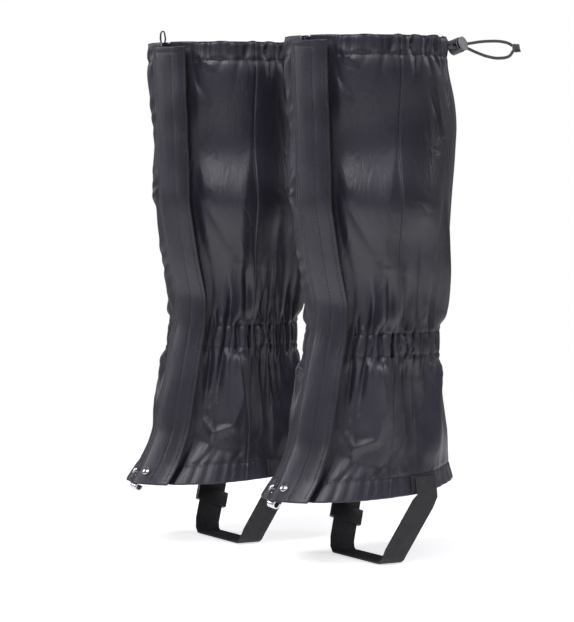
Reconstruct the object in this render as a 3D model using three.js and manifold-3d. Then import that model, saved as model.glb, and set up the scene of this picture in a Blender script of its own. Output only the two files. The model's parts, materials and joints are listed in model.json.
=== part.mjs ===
// A pair of hiking gaiters: thin coated cloth sleeves worn from the instep to below the knee.
// Each has a front zip under a storm flap, a drawcord with a cord lock at the top, elastic at the
// ankle and in the hem, a lace hook at the toe and a webbing strap under the arch of the foot.
//
// Millimetres, +Z up, the toes point to -Y and +X is the wearer's left. The origin is on the left
// leg's axis, at the middle of the ankle elastic. Both gaiters are cut alike: neither is mirrored.
import * as THREE from "three";
import { mergeVertices } from "three/addons/utils/BufferGeometryUtils.js";
import Module from "manifold-3d";

const wasm = await Module();
wasm.setup();

// ---- Driving dimensions ----------------------------------------------------------------------
// Heights, measured from the middle of the ankle elastic.
const UPPER_HEIGHT = 278; // up to the top edge
const LOWER_HEIGHT = 139; // down to the bottom edge at the toe
const HEEL_RISE = 14; // how much higher the bottom edge runs at the heel
const STRAP_DROP = 60; // from the bottom edge down to the sole

// Girth, as half the width and the reach from the leg's axis to the front and to the back.
const TOP_BACK = 63;
const CALF_HALF_WIDTH = 73.5;
const TOP_FRONT = 83;
const CALF_FRONT = 76.5;
const CALF_BACK = 76;
const ANKLE_HALF_WIDTH = 53;
const ANKLE_FRONT = 61;
const ANKLE_BACK = 61;
const HEM_HALF_WIDTH = 64;
const HEM_FRONT = 110;
const HEM_BACK = 77;

// Cloth, and the room between pieces that lie on each other.
const CLOTH = 1.4; // a gathered layer of thin cloth, with its folds
const TAPE = 1;
const GAP = 0.3;
const LAYER_GAP = 0.5; // between curved layers
const SEAM_ANGLE = radians(78); // where the side panel meets the back panel
const INNER_SEAM_ANGLE = radians(282); // where the back panel meets the inner panel

// Folded edges and elastic.
const HEM_DEPTH = 18;
const ANKLE_BAND = 20;
const ELASTIC_THICKNESS = 1;
const ELASTIC_MARGIN = 2.5; // casing above and below an elastic
const CORD_DIAMETER = 2.8;

// Zip and storm flap.
const ZIP_ANGLE = radians(12); // from the front, towards +X
const ZIP_OPENING = 12; // between the two edges of cloth
const ZIP_TAPE_WIDTH = 13; // one half
const TEETH_WIDTH = 2.4; // one half
const TEETH_HEIGHT = 2.6; // above the tape
const TEETH_PARTING = 0.6;
const ZIP_END_MARGIN = 4; // tape ends below the top edge
const ZIP_BOX_LENGTH = 11;
const FLAP_SEAM_X = -5; // the flap is sewn down in this upright plane
const FLAP_FREE_EDGE = 27; // from the zip line
const FLAP_STAND = 5.6; // the flap's clearance over the zip
const FLAP_RISE_WIDTH = 8; // from the seam to where it stands at that height
const FLAP_CLOTH = 1.2;
const HINGE_AHEAD = 1.5; // the flap's hinge line in front of the cloth
const FLAP_TOP_MARGIN = 4.5; // the flap ends below the top edge
const CLOSURE_TAPE_START = 9.5; // hook and loop tape, from the zip line
const CLOSURE_TAPE_WIDTH = 14.5;
const CLOSURE_END_MARGIN = 16;
const SLIDER_LENGTH = 9;
const SLIDER_PLATE = 0.9;
const SLIDER_DROP = 3; // from the top edge to the pull's pin
const PULL_LENGTH = 13.5;
const PULL_WIDTH = 8.5;
const PULL_WIRE = 1.3;

// Cord lock and the free loop of cord.
const LOCK_ANGLE = radians(135);
const LOCK_DROP = 7; // below the top edge
const LOCK_DIAMETER = 14;
const LOCK_WALL = 0.8;
const LOCK_TRAVEL = 2; // of the button
const LOCK_STAND_OFF = 21; // from the cloth to the middle of the lock
const LOCK_SPRING_HEIGHT = 1.6;
const LOCK_CORD_SPACING = 4.4;
const KNOT_DIAMETER = 8.6;

// Lace hook and its rivets.
const RIVET_SPACING = 14;
const RIVET_HEAD = 8;
const RIVET_SHANK = 3;
const RIVET_MIDDLE = 14.5; // from the flap's seam
const RIVET_HEIGHT = 11; // above the bottom edge
const HOOK_PLATE_WIDTH = 20;
const HOOK_PLATE_HEIGHT = 9;
const HOOK_WIDTH = 9;
const HOOK_THICKNESS = 1.2;
const HOOK_BEND = 2.6;

// Foot strap.
const STRAP_WIDTH = 25;
const STRAP_THICKNESS = 1.8;
const STRAP_ANGLE = radians(103);
const STRAP_SOLE_HALF = 40; // half of the flat stretch under the sole
const STRAP_SOLE_Y = -6;
const STRAP_LAP = 16; // sewn on the hem
const ADJUSTER_LENGTH = 15;
const ADJUSTER_WALL = 3;

// The other gaiter stands beside this one, a little ahead.
const PAIR_SPACING = 175;
const PAIR_LEAD = 50;

// ---- The sleeve's shape ----------------------------------------------------------------------
function radians(degrees) {
  return (degrees * Math.PI) / 180;
}

// Cross-sections from the bottom edge to the top edge: half width, front reach, back reach.
// The front is straight from the calf up, so that the zip's upper stretch is straight.
const CALF_SHARE = 0.45;
const STATIONS = [
  [-LOWER_HEIGHT, HEM_HALF_WIDTH, HEM_FRONT, HEM_BACK],
  [-0.87 * LOWER_HEIGHT, HEM_HALF_WIDTH - 2.5, HEM_FRONT - 14, HEM_BACK - 3],
  [-0.65 * LOWER_HEIGHT, HEM_HALF_WIDTH - 5, HEM_FRONT - 28, HEM_BACK - 5],
  [-0.43 * LOWER_HEIGHT, ANKLE_HALF_WIDTH + 4, ANKLE_FRONT + 16, ANKLE_BACK + 6],
  [-0.25 * LOWER_HEIGHT, ANKLE_HALF_WIDTH + 2.5, ANKLE_FRONT + 10, ANKLE_BACK + 2],
  [-ANKLE_BAND / 2, ANKLE_HALF_WIDTH + 1, ANKLE_FRONT + 5, ANKLE_BACK + 1],
  [ANKLE_BAND / 2, ANKLE_HALF_WIDTH, ANKLE_FRONT, ANKLE_BACK],
  [0.135 * UPPER_HEIGHT, ANKLE_HALF_WIDTH + 5, ANKLE_FRONT - 2, ANKLE_BACK + 6],
  [0.27 * UPPER_HEIGHT, ANKLE_HALF_WIDTH + 13, ANKLE_FRONT + 6.5, ANKLE_BACK + 10],
  [CALF_SHARE * UPPER_HEIGHT, CALF_HALF_WIDTH, CALF_FRONT, CALF_BACK - 3],
  [0.7 * UPPER_HEIGHT, CALF_HALF_WIDTH, frontAbove(0.7), CALF_BACK],
  [UPPER_HEIGHT - HEM_DEPTH, CALF_HALF_WIDTH, frontAbove(1 - HEM_DEPTH / UPPER_HEIGHT), TOP_BACK + 4],
  [UPPER_HEIGHT, CALF_HALF_WIDTH, TOP_FRONT, TOP_BACK],
].map(([height, half, front, back]) => ({ height, half, front, back }));

// The front reach on the straight stretch, at a share of the height above the ankle.
function frontAbove(share) {
  return CALF_FRONT + ((TOP_FRONT - CALF_FRONT) * (share - CALF_SHARE)) / (1 - CALF_SHARE);
}

function sectionAt(height) {
  const last = STATIONS.length - 1;
  let i = STATIONS.findIndex((station) => station.height >= height);
  if (i < 0) i = last;
  i = Math.max(i, 1);
  const low = STATIONS[i - 1];
  const high = STATIONS[i];
  const share = (height - low.height) / (high.height - low.height);
  const mix = (key) => low[key] + (high[key] - low[key]) * share;
  return { half: mix("half"), front: mix("front"), back: mix("back") };
}

// The outward direction, level, at an angle from the front towards +X.
function outwardAt(angle, height) {
  const { half, front, back } = sectionAt(height);
  const reach = Math.cos(angle) > 0 ? front : back;
  return new THREE.Vector3(Math.sin(angle) / half, -Math.cos(angle) / reach, 0).normalize();
}

// A point at an angle and a height, moved out from the sleeve's outer face.
function placeAt(angle, height, out = 0) {
  const { half, front, back } = sectionAt(height);
  const reach = Math.cos(angle) > 0 ? front : back;
  const lowShare = Math.max(0, -height / LOWER_HEIGHT);
  const heelShare = (1 - Math.cos(angle)) / 2;
  const rise = HEEL_RISE * lowShare ** 2 * heelShare ** 2;
  return new THREE.Vector3(half * Math.sin(angle), -reach * Math.cos(angle), height + rise)
    .addScaledVector(outwardAt(angle, height), out);
}

// The angle at a distance from the zip line, measured round the cloth.
function fromZip(distance) {
  return (height) => {
    const { half, front } = sectionAt(height);
    return ZIP_ANGLE + distance / Math.hypot(half * Math.cos(ZIP_ANGLE), front * Math.sin(ZIP_ANGLE));
  };
}

function flapSeam(height) {
  return Math.asin(FLAP_SEAM_X / sectionAt(height).half);
}

// The angle at a distance from the flap's seam.
function fromFlapSeam(distance) {
  return (height) => flapSeam(height) + fromZip(distance)(height) - ZIP_ANGLE;
}

// ---- Solids ----------------------------------------------------------------------------------
function solidOf(geometry) {
  const bare = new THREE.BufferGeometry().setAttribute("position", geometry.getAttribute("position"));
  if (geometry.index) bare.setIndex(geometry.index);
  const merged = mergeVertices(bare, 1e-4);
  const mesh = new wasm.Mesh({
    numProp: 3,
    vertProperties: new Float32Array(merged.attributes.position.array),
    triVerts: new Uint32Array(merged.index.array),
  });
  return new wasm.Manifold(mesh);
}

function geometryOf(solid) {
  const mesh = solid.getMesh();
  return new THREE.BufferGeometry()
    .setAttribute("position", new THREE.BufferAttribute(new Float32Array(mesh.vertProperties), 3))
    .setIndex(new THREE.BufferAttribute(new Uint32Array(mesh.triVerts), 1));
}

function cut(geometry, ...tools) {
  return geometryOf(tools.reduce((solid, tool) => solid.subtract(solidOf(tool)), solidOf(geometry)));
}

function join(geometry, ...others) {
  return geometryOf(others.reduce((solid, other) => solid.add(solidOf(other)), solidOf(geometry)));
}

// A closed outline carried through a list of places: rings[i][j] is point j of the outline at place
// i, and outline holds the same points flat, for the two ends. The ends of a thin layer are closed
// in rungs, from one long side to the other, so that they keep to its curve.
function loft(rings, outline, inRungs = false) {
  if (THREE.ShapeUtils.isClockWise(outline)) {
    return loft(rings.map((ring) => ring.toReversed()), outline.toReversed(), inRungs);
  }
  const count = outline.length;
  const positions = rings.flat().flatMap((point) => [point.x, point.y, point.z]);
  const faces = [];
  for (let i = 0; i + 1 < rings.length; i++) {
    for (let j = 0; j < count; j++) {
      const a = i * count + j;
      const b = i * count + ((j + 1) % count);
      faces.push(a, b, b + count, a, b + count, a + count);
    }
  }
  const end = (rings.length - 1) * count;
  const closing = inRungs ? rungs(count) : THREE.ShapeUtils.triangulateShape(outline, []);
  for (const [a, b, c] of closing) faces.push(a, c, b, end + a, end + b, end + c);
  const geometry = new THREE.BufferGeometry()
    .setAttribute("position", new THREE.Float32BufferAttribute(positions, 3))
    .setIndex(faces);
  return volumeOf(geometry) < 0 ? geometry.setIndex(faces.toReversed()) : geometry;
}

function rungs(count) {
  return Array.from({ length: count / 2 - 1 }, (_, i) => {
    const across = count - 1 - i;
    return [[i, i + 1, across - 1], [i, across - 1, across]];
  }).flat();
}

function volumeOf(geometry) {
  const [a, b, c] = [new THREE.Vector3(), new THREE.Vector3(), new THREE.Vector3()];
  const { position } = geometry.attributes;
  const index = geometry.index.array;
  let volume = 0;
  for (let i = 0; i < index.length; i += 3) {
    a.fromBufferAttribute(position, index[i]);
    b.fromBufferAttribute(position, index[i + 1]);
    c.fromBufferAttribute(position, index[i + 2]);
    volume += a.dot(b.cross(c)) / 6;
  }
  return volume;
}

// Cloth, tape or elastic that lies round the sleeve: an outline of [height, out] points carried
// through columns, each an angle or a function from height to angle. lift moves a column out.
function wrap(outline, columns, lift = () => 0, inRungs = false) {
  const flat = outline.map(([height, out]) => new THREE.Vector2(out, height));
  const rings = columns.map((column, i) =>
    outline.map(([height, out]) => {
      const angle = typeof column === "function" ? column(height) : column;
      return placeAt(angle, height, out + lift(i, height));
    }),
  );
  return loft(rings, flat, inRungs);
}

// A strip that runs up the zip: an outline of [distance from the zip line, out] points.
function rail(outline, low, high) {
  const flat = outline.map(([distance, out]) => new THREE.Vector2(distance, out));
  const rings = heightsBetween(low, high).map((height) =>
    outline.map(([distance, out]) => placeAt(fromZip(distance)(height), height, out)),
  );
  return loft(rings, flat);
}

// The heights of the cross-sections between two heights, with both ends.
function heightsBetween(low, high) {
  const inside = STATIONS.map((station) => station.height).filter((h) => h > low + 1 && h < high - 1);
  return [low, ...inside, high];
}

// A thin layer round the sleeve, from one height to another.
function layer(heightRange, [inner, outer], columns, lift) {
  const heights = heightsBetween(...heightRange);
  const outline = [
    ...heights.map((height) => [height, outer]),
    ...heights.toReversed().map((height) => [height, inner]),
  ];
  return wrap(outline, columns, lift, true);
}

// Angles on a grid that every ring shares, so that one layer's flats lie over the next one's.
const GRID_STEP = radians(10);
function gridBetween(low, high) {
  const angles = [];
  const first = Math.ceil((low + GRID_STEP / 3) / GRID_STEP);
  for (let i = first; i * GRID_STEP < high - GRID_STEP / 3; i++) angles.push(i * GRID_STEP);
  return angles;
}

// Columns spread evenly between two angle functions.
function columnsBetween(from, to, steps) {
  return Array.from({ length: steps + 1 }, (_, i) => (height) => {
    const share = i / steps;
    return from(height) * (1 - share) + to(height) * share;
  });
}

// A channel that is open towards the cloth, for the casings: lips, then a back.
function channel(low, high, depth) {
  const face = -CLOTH - GAP;
  const back = face - depth;
  return [
    [high, face],
    [high, back - TAPE],
    [low, back - TAPE],
    [low, face],
    [low + TAPE, face],
    [low + TAPE, back],
    [high - TAPE, back],
    [high - TAPE, face],
  ];
}

function cylinder(diameter, from, to, segments = 24) {
  return new THREE.CylinderGeometry(diameter / 2, diameter / 2, to - from, segments)
    .rotateX(Math.PI / 2)
    .translate(0, 0, (from + to) / 2);
}

function box(x, y, z) {
  return new THREE.BoxGeometry(x[1] - x[0], y[1] - y[0], z[1] - z[0])
    .translate((x[0] + x[1]) / 2, (y[0] + y[1]) / 2, (z[0] + z[1]) / 2);
}

// A round cord along a curve.
function cordAlong(curve, diameter, steps) {
  const section = new THREE.Shape().absarc(0, 0, diameter / 2, 0, 2 * Math.PI);
  return new THREE.ExtrudeGeometry(section, { steps, extrudePath: curve, curveSegments: 5 });
}

// The turn that carries X, Y and Z to three directions at right angles, and the place.
function frameOf(x, y, z, origin) {
  return new THREE.Matrix4().makeBasis(x, y, z).setPosition(origin);
}

// ---- Materials -------------------------------------------------------------------------------
const materials = {
  shell_cloth: material(0x37363d, 0.5, 0),
  lining_cloth: material(0x2a2a2e, 0.8, 0),
  elastic: material(0x1f1f21, 0.9, 0),
  closure_tape: material(0x1c1c1f, 1, 0),
  zip_tape: material(0x202023, 0.9, 0),
  zip_metal: material(0x77787b, 0.35, 1),
  zip_plastic: material(0x19191b, 0.4, 0),
  steel: material(0xc8c9cb, 0.25, 1),
  cord: material(0x47474a, 0.8, 0),
  lock_plastic: material(0x5a5b5e, 0.55, 0),
  webbing: material(0x242426, 0.85, 0),
};

function material(color, roughness, metalness) {
  return new THREE.MeshStandardMaterial({ color, roughness, metalness });
}

function piece(name, geometry, finish) {
  const mesh = new THREE.Mesh(geometry, materials[finish]);
  mesh.name = name;
  return mesh;
}

// ---- Sleeve panels ---------------------------------------------------------------------------
const zipEdgeOuter = fromZip(ZIP_OPENING / 2);
const zipEdgeInner = (height) => 2 * Math.PI + fromZip(-ZIP_OPENING / 2)(height);
const seamShare = GAP / CALF_HALF_WIDTH; // half of the room at a seam, as an angle

// The two strands of the drawcord leave the back panel side by side, through a hole each.
const lockTilt = radians(18);
const lockHeading = radians(25); // of the strands, turned from straight back (+Y) towards -X
const lockAxes = cordLockAxes();

function cordLockAxes() {
  const cord = new THREE.Vector3(-Math.sin(lockHeading), Math.cos(lockHeading), 0);
  const level = new THREE.Vector3(cord.y, -cord.x, 0);
  const axis = level.multiplyScalar(Math.cos(lockTilt)).setZ(Math.sin(lockTilt));
  const across = new THREE.Vector3().crossVectors(axis, cord);
  return { cord, across, axis };
}

const cordExit = placeAt(LOCK_ANGLE, UPPER_HEIGHT - LOCK_DROP);
const lockMiddle = cordExit.clone().addScaledVector(lockAxes.cord, LOCK_STAND_OFF);
const strandOffset = (side) => lockAxes.across.clone().multiplyScalar((side * LOCK_CORD_SPACING) / 2);

function strandHole(side) {
  const from = cordExit.clone().addScaledVector(lockAxes.cord, -8).add(strandOffset(side));
  const to = cordExit.clone().addScaledVector(lockAxes.cord, 6).add(strandOffset(side));
  return cordAlong(new THREE.LineCurve3(from, to), CORD_DIAMETER + 2 * LAYER_GAP, 1);
}

// The casings and elastics stop short of the zip tapes; the panels have a column there too.
const casingMargin = ZIP_TAPE_WIDTH + 2 * GAP + TEETH_PARTING;
const casingStart = fromZip(casingMargin);
const casingEnd = (height) => 2 * Math.PI + fromZip(-casingMargin)(height);
const casingLow = Math.max(...STATIONS.map((station) => casingStart(station.height)));
const casingHigh = Math.min(...STATIONS.map((station) => casingEnd(station.height)));

function panels() {
  const wall = (columns) => layer([-LOWER_HEIGHT, UPPER_HEIGHT], [-CLOTH, 0], columns);
  const outerSeam = [SEAM_ANGLE - seamShare, SEAM_ANGLE + seamShare];
  const innerSeam = [INNER_SEAM_ANGLE - seamShare, INNER_SEAM_ANGLE + seamShare];
  const back = wall([outerSeam[1], ...gridBetween(outerSeam[1], innerSeam[0]), innerSeam[0]]);
  return {
    side_panel: wall([zipEdgeOuter, casingStart, ...gridBetween(casingLow, outerSeam[0]), outerSeam[0]]),
    back_panel: cut(back, strandHole(1), strandHole(-1)),
    inner_panel: wall([innerSeam[1], ...gridBetween(innerSeam[1], casingHigh), casingEnd, zipEdgeInner]),
  };
}

// ---- Folded edges, elastic and drawcord ------------------------------------------------------
function roundFromZip(outline) {
  return wrap(outline, [casingStart, ...gridBetween(casingLow, casingHigh), casingEnd]);
}

function flatElastic(low, high) {
  const outer = -CLOTH - GAP - LAYER_GAP;
  return roundFromZip([
    [low, outer],
    [high, outer],
    [high, outer - ELASTIC_THICKNESS],
    [low, outer - ELASTIC_THICKNESS],
  ]);
}

function casings() {
  const elasticDepth = ELASTIC_THICKNESS + 2 * LAYER_GAP;
  const bottom = -LOWER_HEIGHT + GAP;
  const ankleHalf = ANKLE_BAND / 2;
  return {
    top_hem: roundFromZip(channel(UPPER_HEIGHT - HEM_DEPTH, UPPER_HEIGHT - GAP, CORD_DIAMETER + 2 * GAP)),
    ankle_casing: roundFromZip(channel(-ankleHalf, ankleHalf, elasticDepth)),
    bottom_hem: roundFromZip(channel(bottom, bottom + HEM_DEPTH, elasticDepth)),
    ankle_elastic: flatElastic(-ankleHalf + ELASTIC_MARGIN, ankleHalf - ELASTIC_MARGIN),
    hem_elastic: flatElastic(bottom + ELASTIC_MARGIN, bottom + HEM_DEPTH - ELASTIC_MARGIN),
  };
}

// The length of drawcord inside the top hem, held all the way.
function drawcordInHem() {
  const height = UPPER_HEIGHT - GAP - HEM_DEPTH / 2;
  const out = -CLOTH - 2 * GAP - CORD_DIAMETER / 2;
  const sides = 8;
  const outline = Array.from({ length: sides }, (_, i) => {
    const turn = (2 * Math.PI * (i + 0.5)) / sides;
    return [height + (CORD_DIAMETER / 2) * Math.sin(turn), out + (CORD_DIAMETER / 2) * Math.cos(turn)];
  });
  return roundFromZip(outline);
}

// ---- Zip -------------------------------------------------------------------------------------
const zipTop = UPPER_HEIGHT - ZIP_END_MARGIN;
const zipBottom = -LOWER_HEIGHT + 2 + ZIP_BOX_LENGTH + GAP;
const tapeOuter = -CLOTH - LAYER_GAP;
const teethTop = tapeOuter + TEETH_HEIGHT;

// One half: a tape that lies under the cloth's edge, with a ridge of teeth along the parting.
function zipHalf(side) {
  const inner = tapeOuter - TAPE;
  const parting = TEETH_PARTING / 2;
  const edge = parting + ZIP_TAPE_WIDTH;
  const outline = [
    [parting, inner],
    [parting + ZIP_TAPE_WIDTH / 2, inner],
    [edge, inner],
    [edge, tapeOuter],
    [parting + ZIP_TAPE_WIDTH / 2, tapeOuter],
    [parting + TEETH_WIDTH, tapeOuter],
    [parting + TEETH_WIDTH, teethTop],
    [parting, teethTop],
  ];
  return rail(outline.map(([distance, out]) => [side * distance, out]), zipBottom, zipTop);
}

function zipBottomBox() {
  const half = TEETH_WIDTH + 2;
  const low = -LOWER_HEIGHT + 2;
  const columns = columnsBetween(fromZip(-half), fromZip(half), 4);
  return layer([low, low + ZIP_BOX_LENGTH], [tapeOuter - TAPE, teethTop + GAP], columns);
}

// The frame of the zip's straight stretch: X round the cloth, Y outwards, Z up along the teeth.
function zipFrame() {
  const low = placeAt(ZIP_ANGLE, CALF_SHARE * UPPER_HEIGHT, teethTop);
  const high = placeAt(ZIP_ANGLE, UPPER_HEIGHT, teethTop);
  const along = high.clone().sub(low).normalize();
  const out = outwardAt(ZIP_ANGLE, (CALF_SHARE * UPPER_HEIGHT + UPPER_HEIGHT) / 2);
  out.addScaledVector(along, -out.dot(along)).normalize();
  const round = new THREE.Vector3().crossVectors(out, along);
  const pin = low.lerp(high, 1 - SLIDER_DROP / (UPPER_HEIGHT * (1 - CALF_SHARE)));
  return { round, out, along, pin };
}

const wireCorner = PULL_WIRE * Math.SQRT1_2; // the reach of the pull's square wire as it turns
const pinHeight = SLIDER_PLATE + 2 * GAP + wireCorner; // the pull's pin above the teeth
const bridgeTop = pinHeight + wireCorner + GAP;

// A C-shaped plate that rides over the teeth, with a bridge for the pull.
function sliderShape() {
  const half = TEETH_PARTING / 2 + TEETH_WIDTH + GAP + 0.1;
  const rim = half + SLIDER_PLATE;
  const outline = [
    [-rim, -TEETH_HEIGHT + 2 * GAP],
    [-half, -TEETH_HEIGHT + 2 * GAP],
    [-half, GAP],
    [half, GAP],
    [half, -TEETH_HEIGHT + 2 * GAP],
    [rim, -TEETH_HEIGHT + 2 * GAP],
    [rim, GAP + SLIDER_PLATE],
    [-rim, GAP + SLIDER_PLATE],
  ].map(([x, y]) => new THREE.Vector2(x, y));
  const bottom = -SLIDER_LENGTH * 0.72;
  const plate = new THREE.ExtrudeGeometry(new THREE.Shape(outline), {
    depth: SLIDER_LENGTH,
    bevelEnabled: false,
  }).translate(0, 0, bottom);
  const room = wireCorner + GAP; // from the pin's middle to each foot of the bridge
  const foot = 1;
  const width = 1.1;
  const feet = [-1, 1].map((side) =>
    box([-width, width], [GAP, bridgeTop], [side * room, side * (room + foot)].sort((a, b) => a - b)),
  );
  const beam = box([-width, width], [bridgeTop - 0.05, bridgeTop + 0.7], [-room - foot, room + foot]);
  return join(plate, ...feet, beam);
}

// A flat loop of wire, hung on the bridge by its short side.
function pullShape() {
  const half = PULL_WIDTH / 2;
  const outer = new THREE.Shape([
    [-2.4, -PULL_WIRE / 2],
    [2.4, -PULL_WIRE / 2],
    [half, PULL_LENGTH * 0.45],
    [half * 0.8, PULL_LENGTH * 0.85],
    [half * 0.35, PULL_LENGTH],
    [-half * 0.35, PULL_LENGTH],
    [-half * 0.8, PULL_LENGTH * 0.85],
    [-half, PULL_LENGTH * 0.45],
  ].map(([x, y]) => new THREE.Vector2(x, y)));
  outer.holes.push(new THREE.Path([
    [-1.5, PULL_WIRE / 2],
    [-half + PULL_WIRE, PULL_LENGTH * 0.45],
    [-half * 0.8 + PULL_WIRE, PULL_LENGTH * 0.85 - PULL_WIRE / 2],
    [-half * 0.3, PULL_LENGTH - PULL_WIRE],
    [half * 0.3, PULL_LENGTH - PULL_WIRE],
    [half * 0.8 - PULL_WIRE, PULL_LENGTH * 0.85 - PULL_WIRE / 2],
    [half - PULL_WIRE, PULL_LENGTH * 0.45],
    [1.5, PULL_WIRE / 2],
  ].map(([x, y]) => new THREE.Vector2(x, y))));
  return new THREE.ExtrudeGeometry(outer, { depth: PULL_WIRE, bevelEnabled: false })
    .translate(0, 0, -PULL_WIRE / 2)
    .rotateX(Math.PI / 2); // the loop now reaches along +Z, flat against the zip
}

// ---- Storm flap ------------------------------------------------------------------------------
const flapTop = UPPER_HEIGHT - FLAP_TOP_MARGIN;
const flapBottom = -LOWER_HEIGHT;

function flapLift(distance) {
  const share = THREE.MathUtils.smoothstep(distance, 0, FLAP_RISE_WIDTH);
  return GAP + (FLAP_STAND - GAP) * share;
}

// Distances from the seam to each column of the flap, at a height.
const FLAP_SHARES = [0, 0.09, 0.18, 0.27, 0.4, 0.55, 0.7, 0.85, 1];
function flapColumns() {
  return FLAP_SHARES.map((share) => (height) => {
    const seam = flapSeam(height);
    return seam + (fromZip(FLAP_FREE_EDGE)(height) - seam) * share;
  });
}

function flapWidth(height) {
  const { half, front } = sectionAt(height);
  const round = Math.hypot(half * Math.cos(ZIP_ANGLE), front * Math.sin(ZIP_ANGLE));
  return (fromZip(FLAP_FREE_EDGE)(height) - flapSeam(height)) * round;
}

const rivetHeight = -LOWER_HEIGHT + RIVET_HEIGHT;
const hookDepth = LAYER_GAP + 2 * GAP; // from the flap's inner face to the hook's plate

// The frame of a place on the flap near the bottom edge: X round, Y outwards, Z up the cloth.
function flapFrame(distance, height) {
  const at = (d, h) => placeAt(fromFlapSeam(d)(h), h, flapLift(d));
  const up = at(distance, height + 3).sub(at(distance, height - 3)).normalize();
  const across = at(distance + 1, height).sub(at(distance - 1, height));
  const outward = across.cross(up).normalize();
  return frameOf(new THREE.Vector3().crossVectors(outward, up), outward, up, at(distance, height));
}

function rivetFrame(side) {
  const distance = RIVET_MIDDLE + (side * RIVET_SPACING) / 2;
  return flapFrame(distance, rivetHeight);
}

// The axis of a rivet runs along its frame's Y.
function rivetHole(side) {
  return cylinder(RIVET_SHANK + 2 * GAP, -8, 8, 16).rotateX(Math.PI / 2).applyMatrix4(rivetFrame(side));
}

function stormFlap() {
  const flap = layer([flapBottom, flapTop], [0, FLAP_CLOTH], flapColumns(), (i, height) =>
    flapLift(FLAP_SHARES[i] * flapWidth(height)),
  );
  return cut(flap, rivetHole(-1), rivetHole(1));
}

function closureTape(inner, outer) {
  const heights = [-LOWER_HEIGHT + CLOSURE_END_MARGIN, UPPER_HEIGHT - CLOSURE_END_MARGIN - HEM_DEPTH / 2];
  const end = CLOSURE_TAPE_START + CLOSURE_TAPE_WIDTH;
  return layer(heights, [inner, outer], columnsBetween(fromZip(CLOSURE_TAPE_START), fromZip(end), 3));
}

// ---- Lace hook and rivets --------------------------------------------------------------------
function laceHook() {
  const low = rivetHeight - HOOK_PLATE_HEIGHT / 2;
  const columns = columnsBetween(
    fromFlapSeam(RIVET_MIDDLE - HOOK_PLATE_WIDTH / 2),
    fromFlapSeam(RIVET_MIDDLE + HOOK_PLATE_WIDTH / 2),
    6,
  );
  const steps = columns.length - 1;
  const plate = layer([low, low + HOOK_PLATE_HEIGHT], [-HOOK_THICKNESS - hookDepth, -hookDepth], columns, (i) =>
    flapLift(RIVET_MIDDLE + (i / steps - 0.5) * HOOK_PLATE_WIDTH),
  );
  // The hook: down past the bottom edge, then round and up behind it, short of the edge.
  const thick = HOOK_THICKNESS;
  const turn = RIVET_HEIGHT + 3;
  const tip = turn - 3;
  const profile = new THREE.Shape();
  profile.moveTo(thick, 0);
  profile.lineTo(thick, -turn);
  profile.absarc(-HOOK_BEND, -turn, HOOK_BEND + thick, 0, -Math.PI, true);
  profile.lineTo(-2 * HOOK_BEND - thick, -tip);
  profile.lineTo(-2 * HOOK_BEND, -tip);
  profile.lineTo(-2 * HOOK_BEND, -turn);
  profile.absarc(-HOOK_BEND, -turn, HOOK_BEND, -Math.PI, 0, false);
  profile.lineTo(0, 0);
  const hook = new THREE.ExtrudeGeometry(profile, { depth: HOOK_WIDTH, bevelEnabled: false, curveSegments: 8 })
    .translate(0, 0, -HOOK_WIDTH / 2);
  // The profile's X becomes outwards (Y), its Y becomes up (Z) and its depth becomes across (X).
  hook.applyMatrix4(new THREE.Matrix4().set(
    0, 0, 1, 0,
    1, 0, 0, -HOOK_THICKNESS - hookDepth,
    0, 1, 0, 0,
    0, 0, 0, 1,
  ));
  hook.applyMatrix4(flapFrame(RIVET_MIDDLE, rivetHeight));
  return cut(join(plate, hook), rivetHole(-1), rivetHole(1));
}

function rivet(side) {
  const tailTop = -HOOK_THICKNESS - hookDepth - LAYER_GAP;
  const head = FLAP_CLOTH + LAYER_GAP;
  const radius = RIVET_HEAD / 2;
  const profile = [
    [0, tailTop - 0.8],
    [RIVET_SHANK / 2 + 0.9, tailTop - 0.8],
    [RIVET_SHANK / 2 + 0.9, tailTop],
    [RIVET_SHANK / 2, tailTop],
    [RIVET_SHANK / 2, head],
    [radius, head],
    [radius, head + 0.5],
    [radius * 0.75, head + 1.2],
    [radius * 0.4, head + 1.6],
    [0, head + 1.7],
  ].map(([x, y]) => new THREE.Vector2(x, y));
  return new THREE.LatheGeometry(profile, 16).applyMatrix4(rivetFrame(side));
}

// ---- Cord lock -------------------------------------------------------------------------------
// In the lock's own frame X runs along the strands, Y from strand to strand, Z out of the button.
const slotHalf = CORD_DIAMETER / 2 + GAP;
const slotWide = LOCK_CORD_SPACING / 2 + CORD_DIAMETER / 2 + GAP;
const buttonFloor = -slotHalf - 1.2;
const springLow = buttonFloor - LOCK_TRAVEL - GAP - LOCK_SPRING_HEIGHT;
const bodyFloor = springLow - GAP;
const bodyRim = slotHalf + 1;
const headLow = slotHalf + LOCK_TRAVEL + 1;
const boreDiameter = LOCK_DIAMETER - 2 * LOCK_WALL;

function lockBody() {
  const barrel = cylinder(LOCK_DIAMETER, bodyFloor - LOCK_WALL, bodyRim);
  const bore = cylinder(boreDiameter, bodyFloor, bodyRim + 1);
  const slot = box([-LOCK_DIAMETER, LOCK_DIAMETER], [-slotWide, slotWide], [-slotHalf, slotHalf]);
  return cut(barrel, bore, slot);
}

function lockButton() {
  const stem = cylinder(boreDiameter - 2 * GAP, buttonFloor, headLow + 0.1);
  const head = cylinder(LOCK_DIAMETER - 2 * GAP, headLow, headLow + 1.4);
  const slot = box([-LOCK_DIAMETER, LOCK_DIAMETER], [-slotWide, slotWide], [-slotHalf, slotHalf + LOCK_TRAVEL]);
  return cut(join(stem, head), slot);
}

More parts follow.
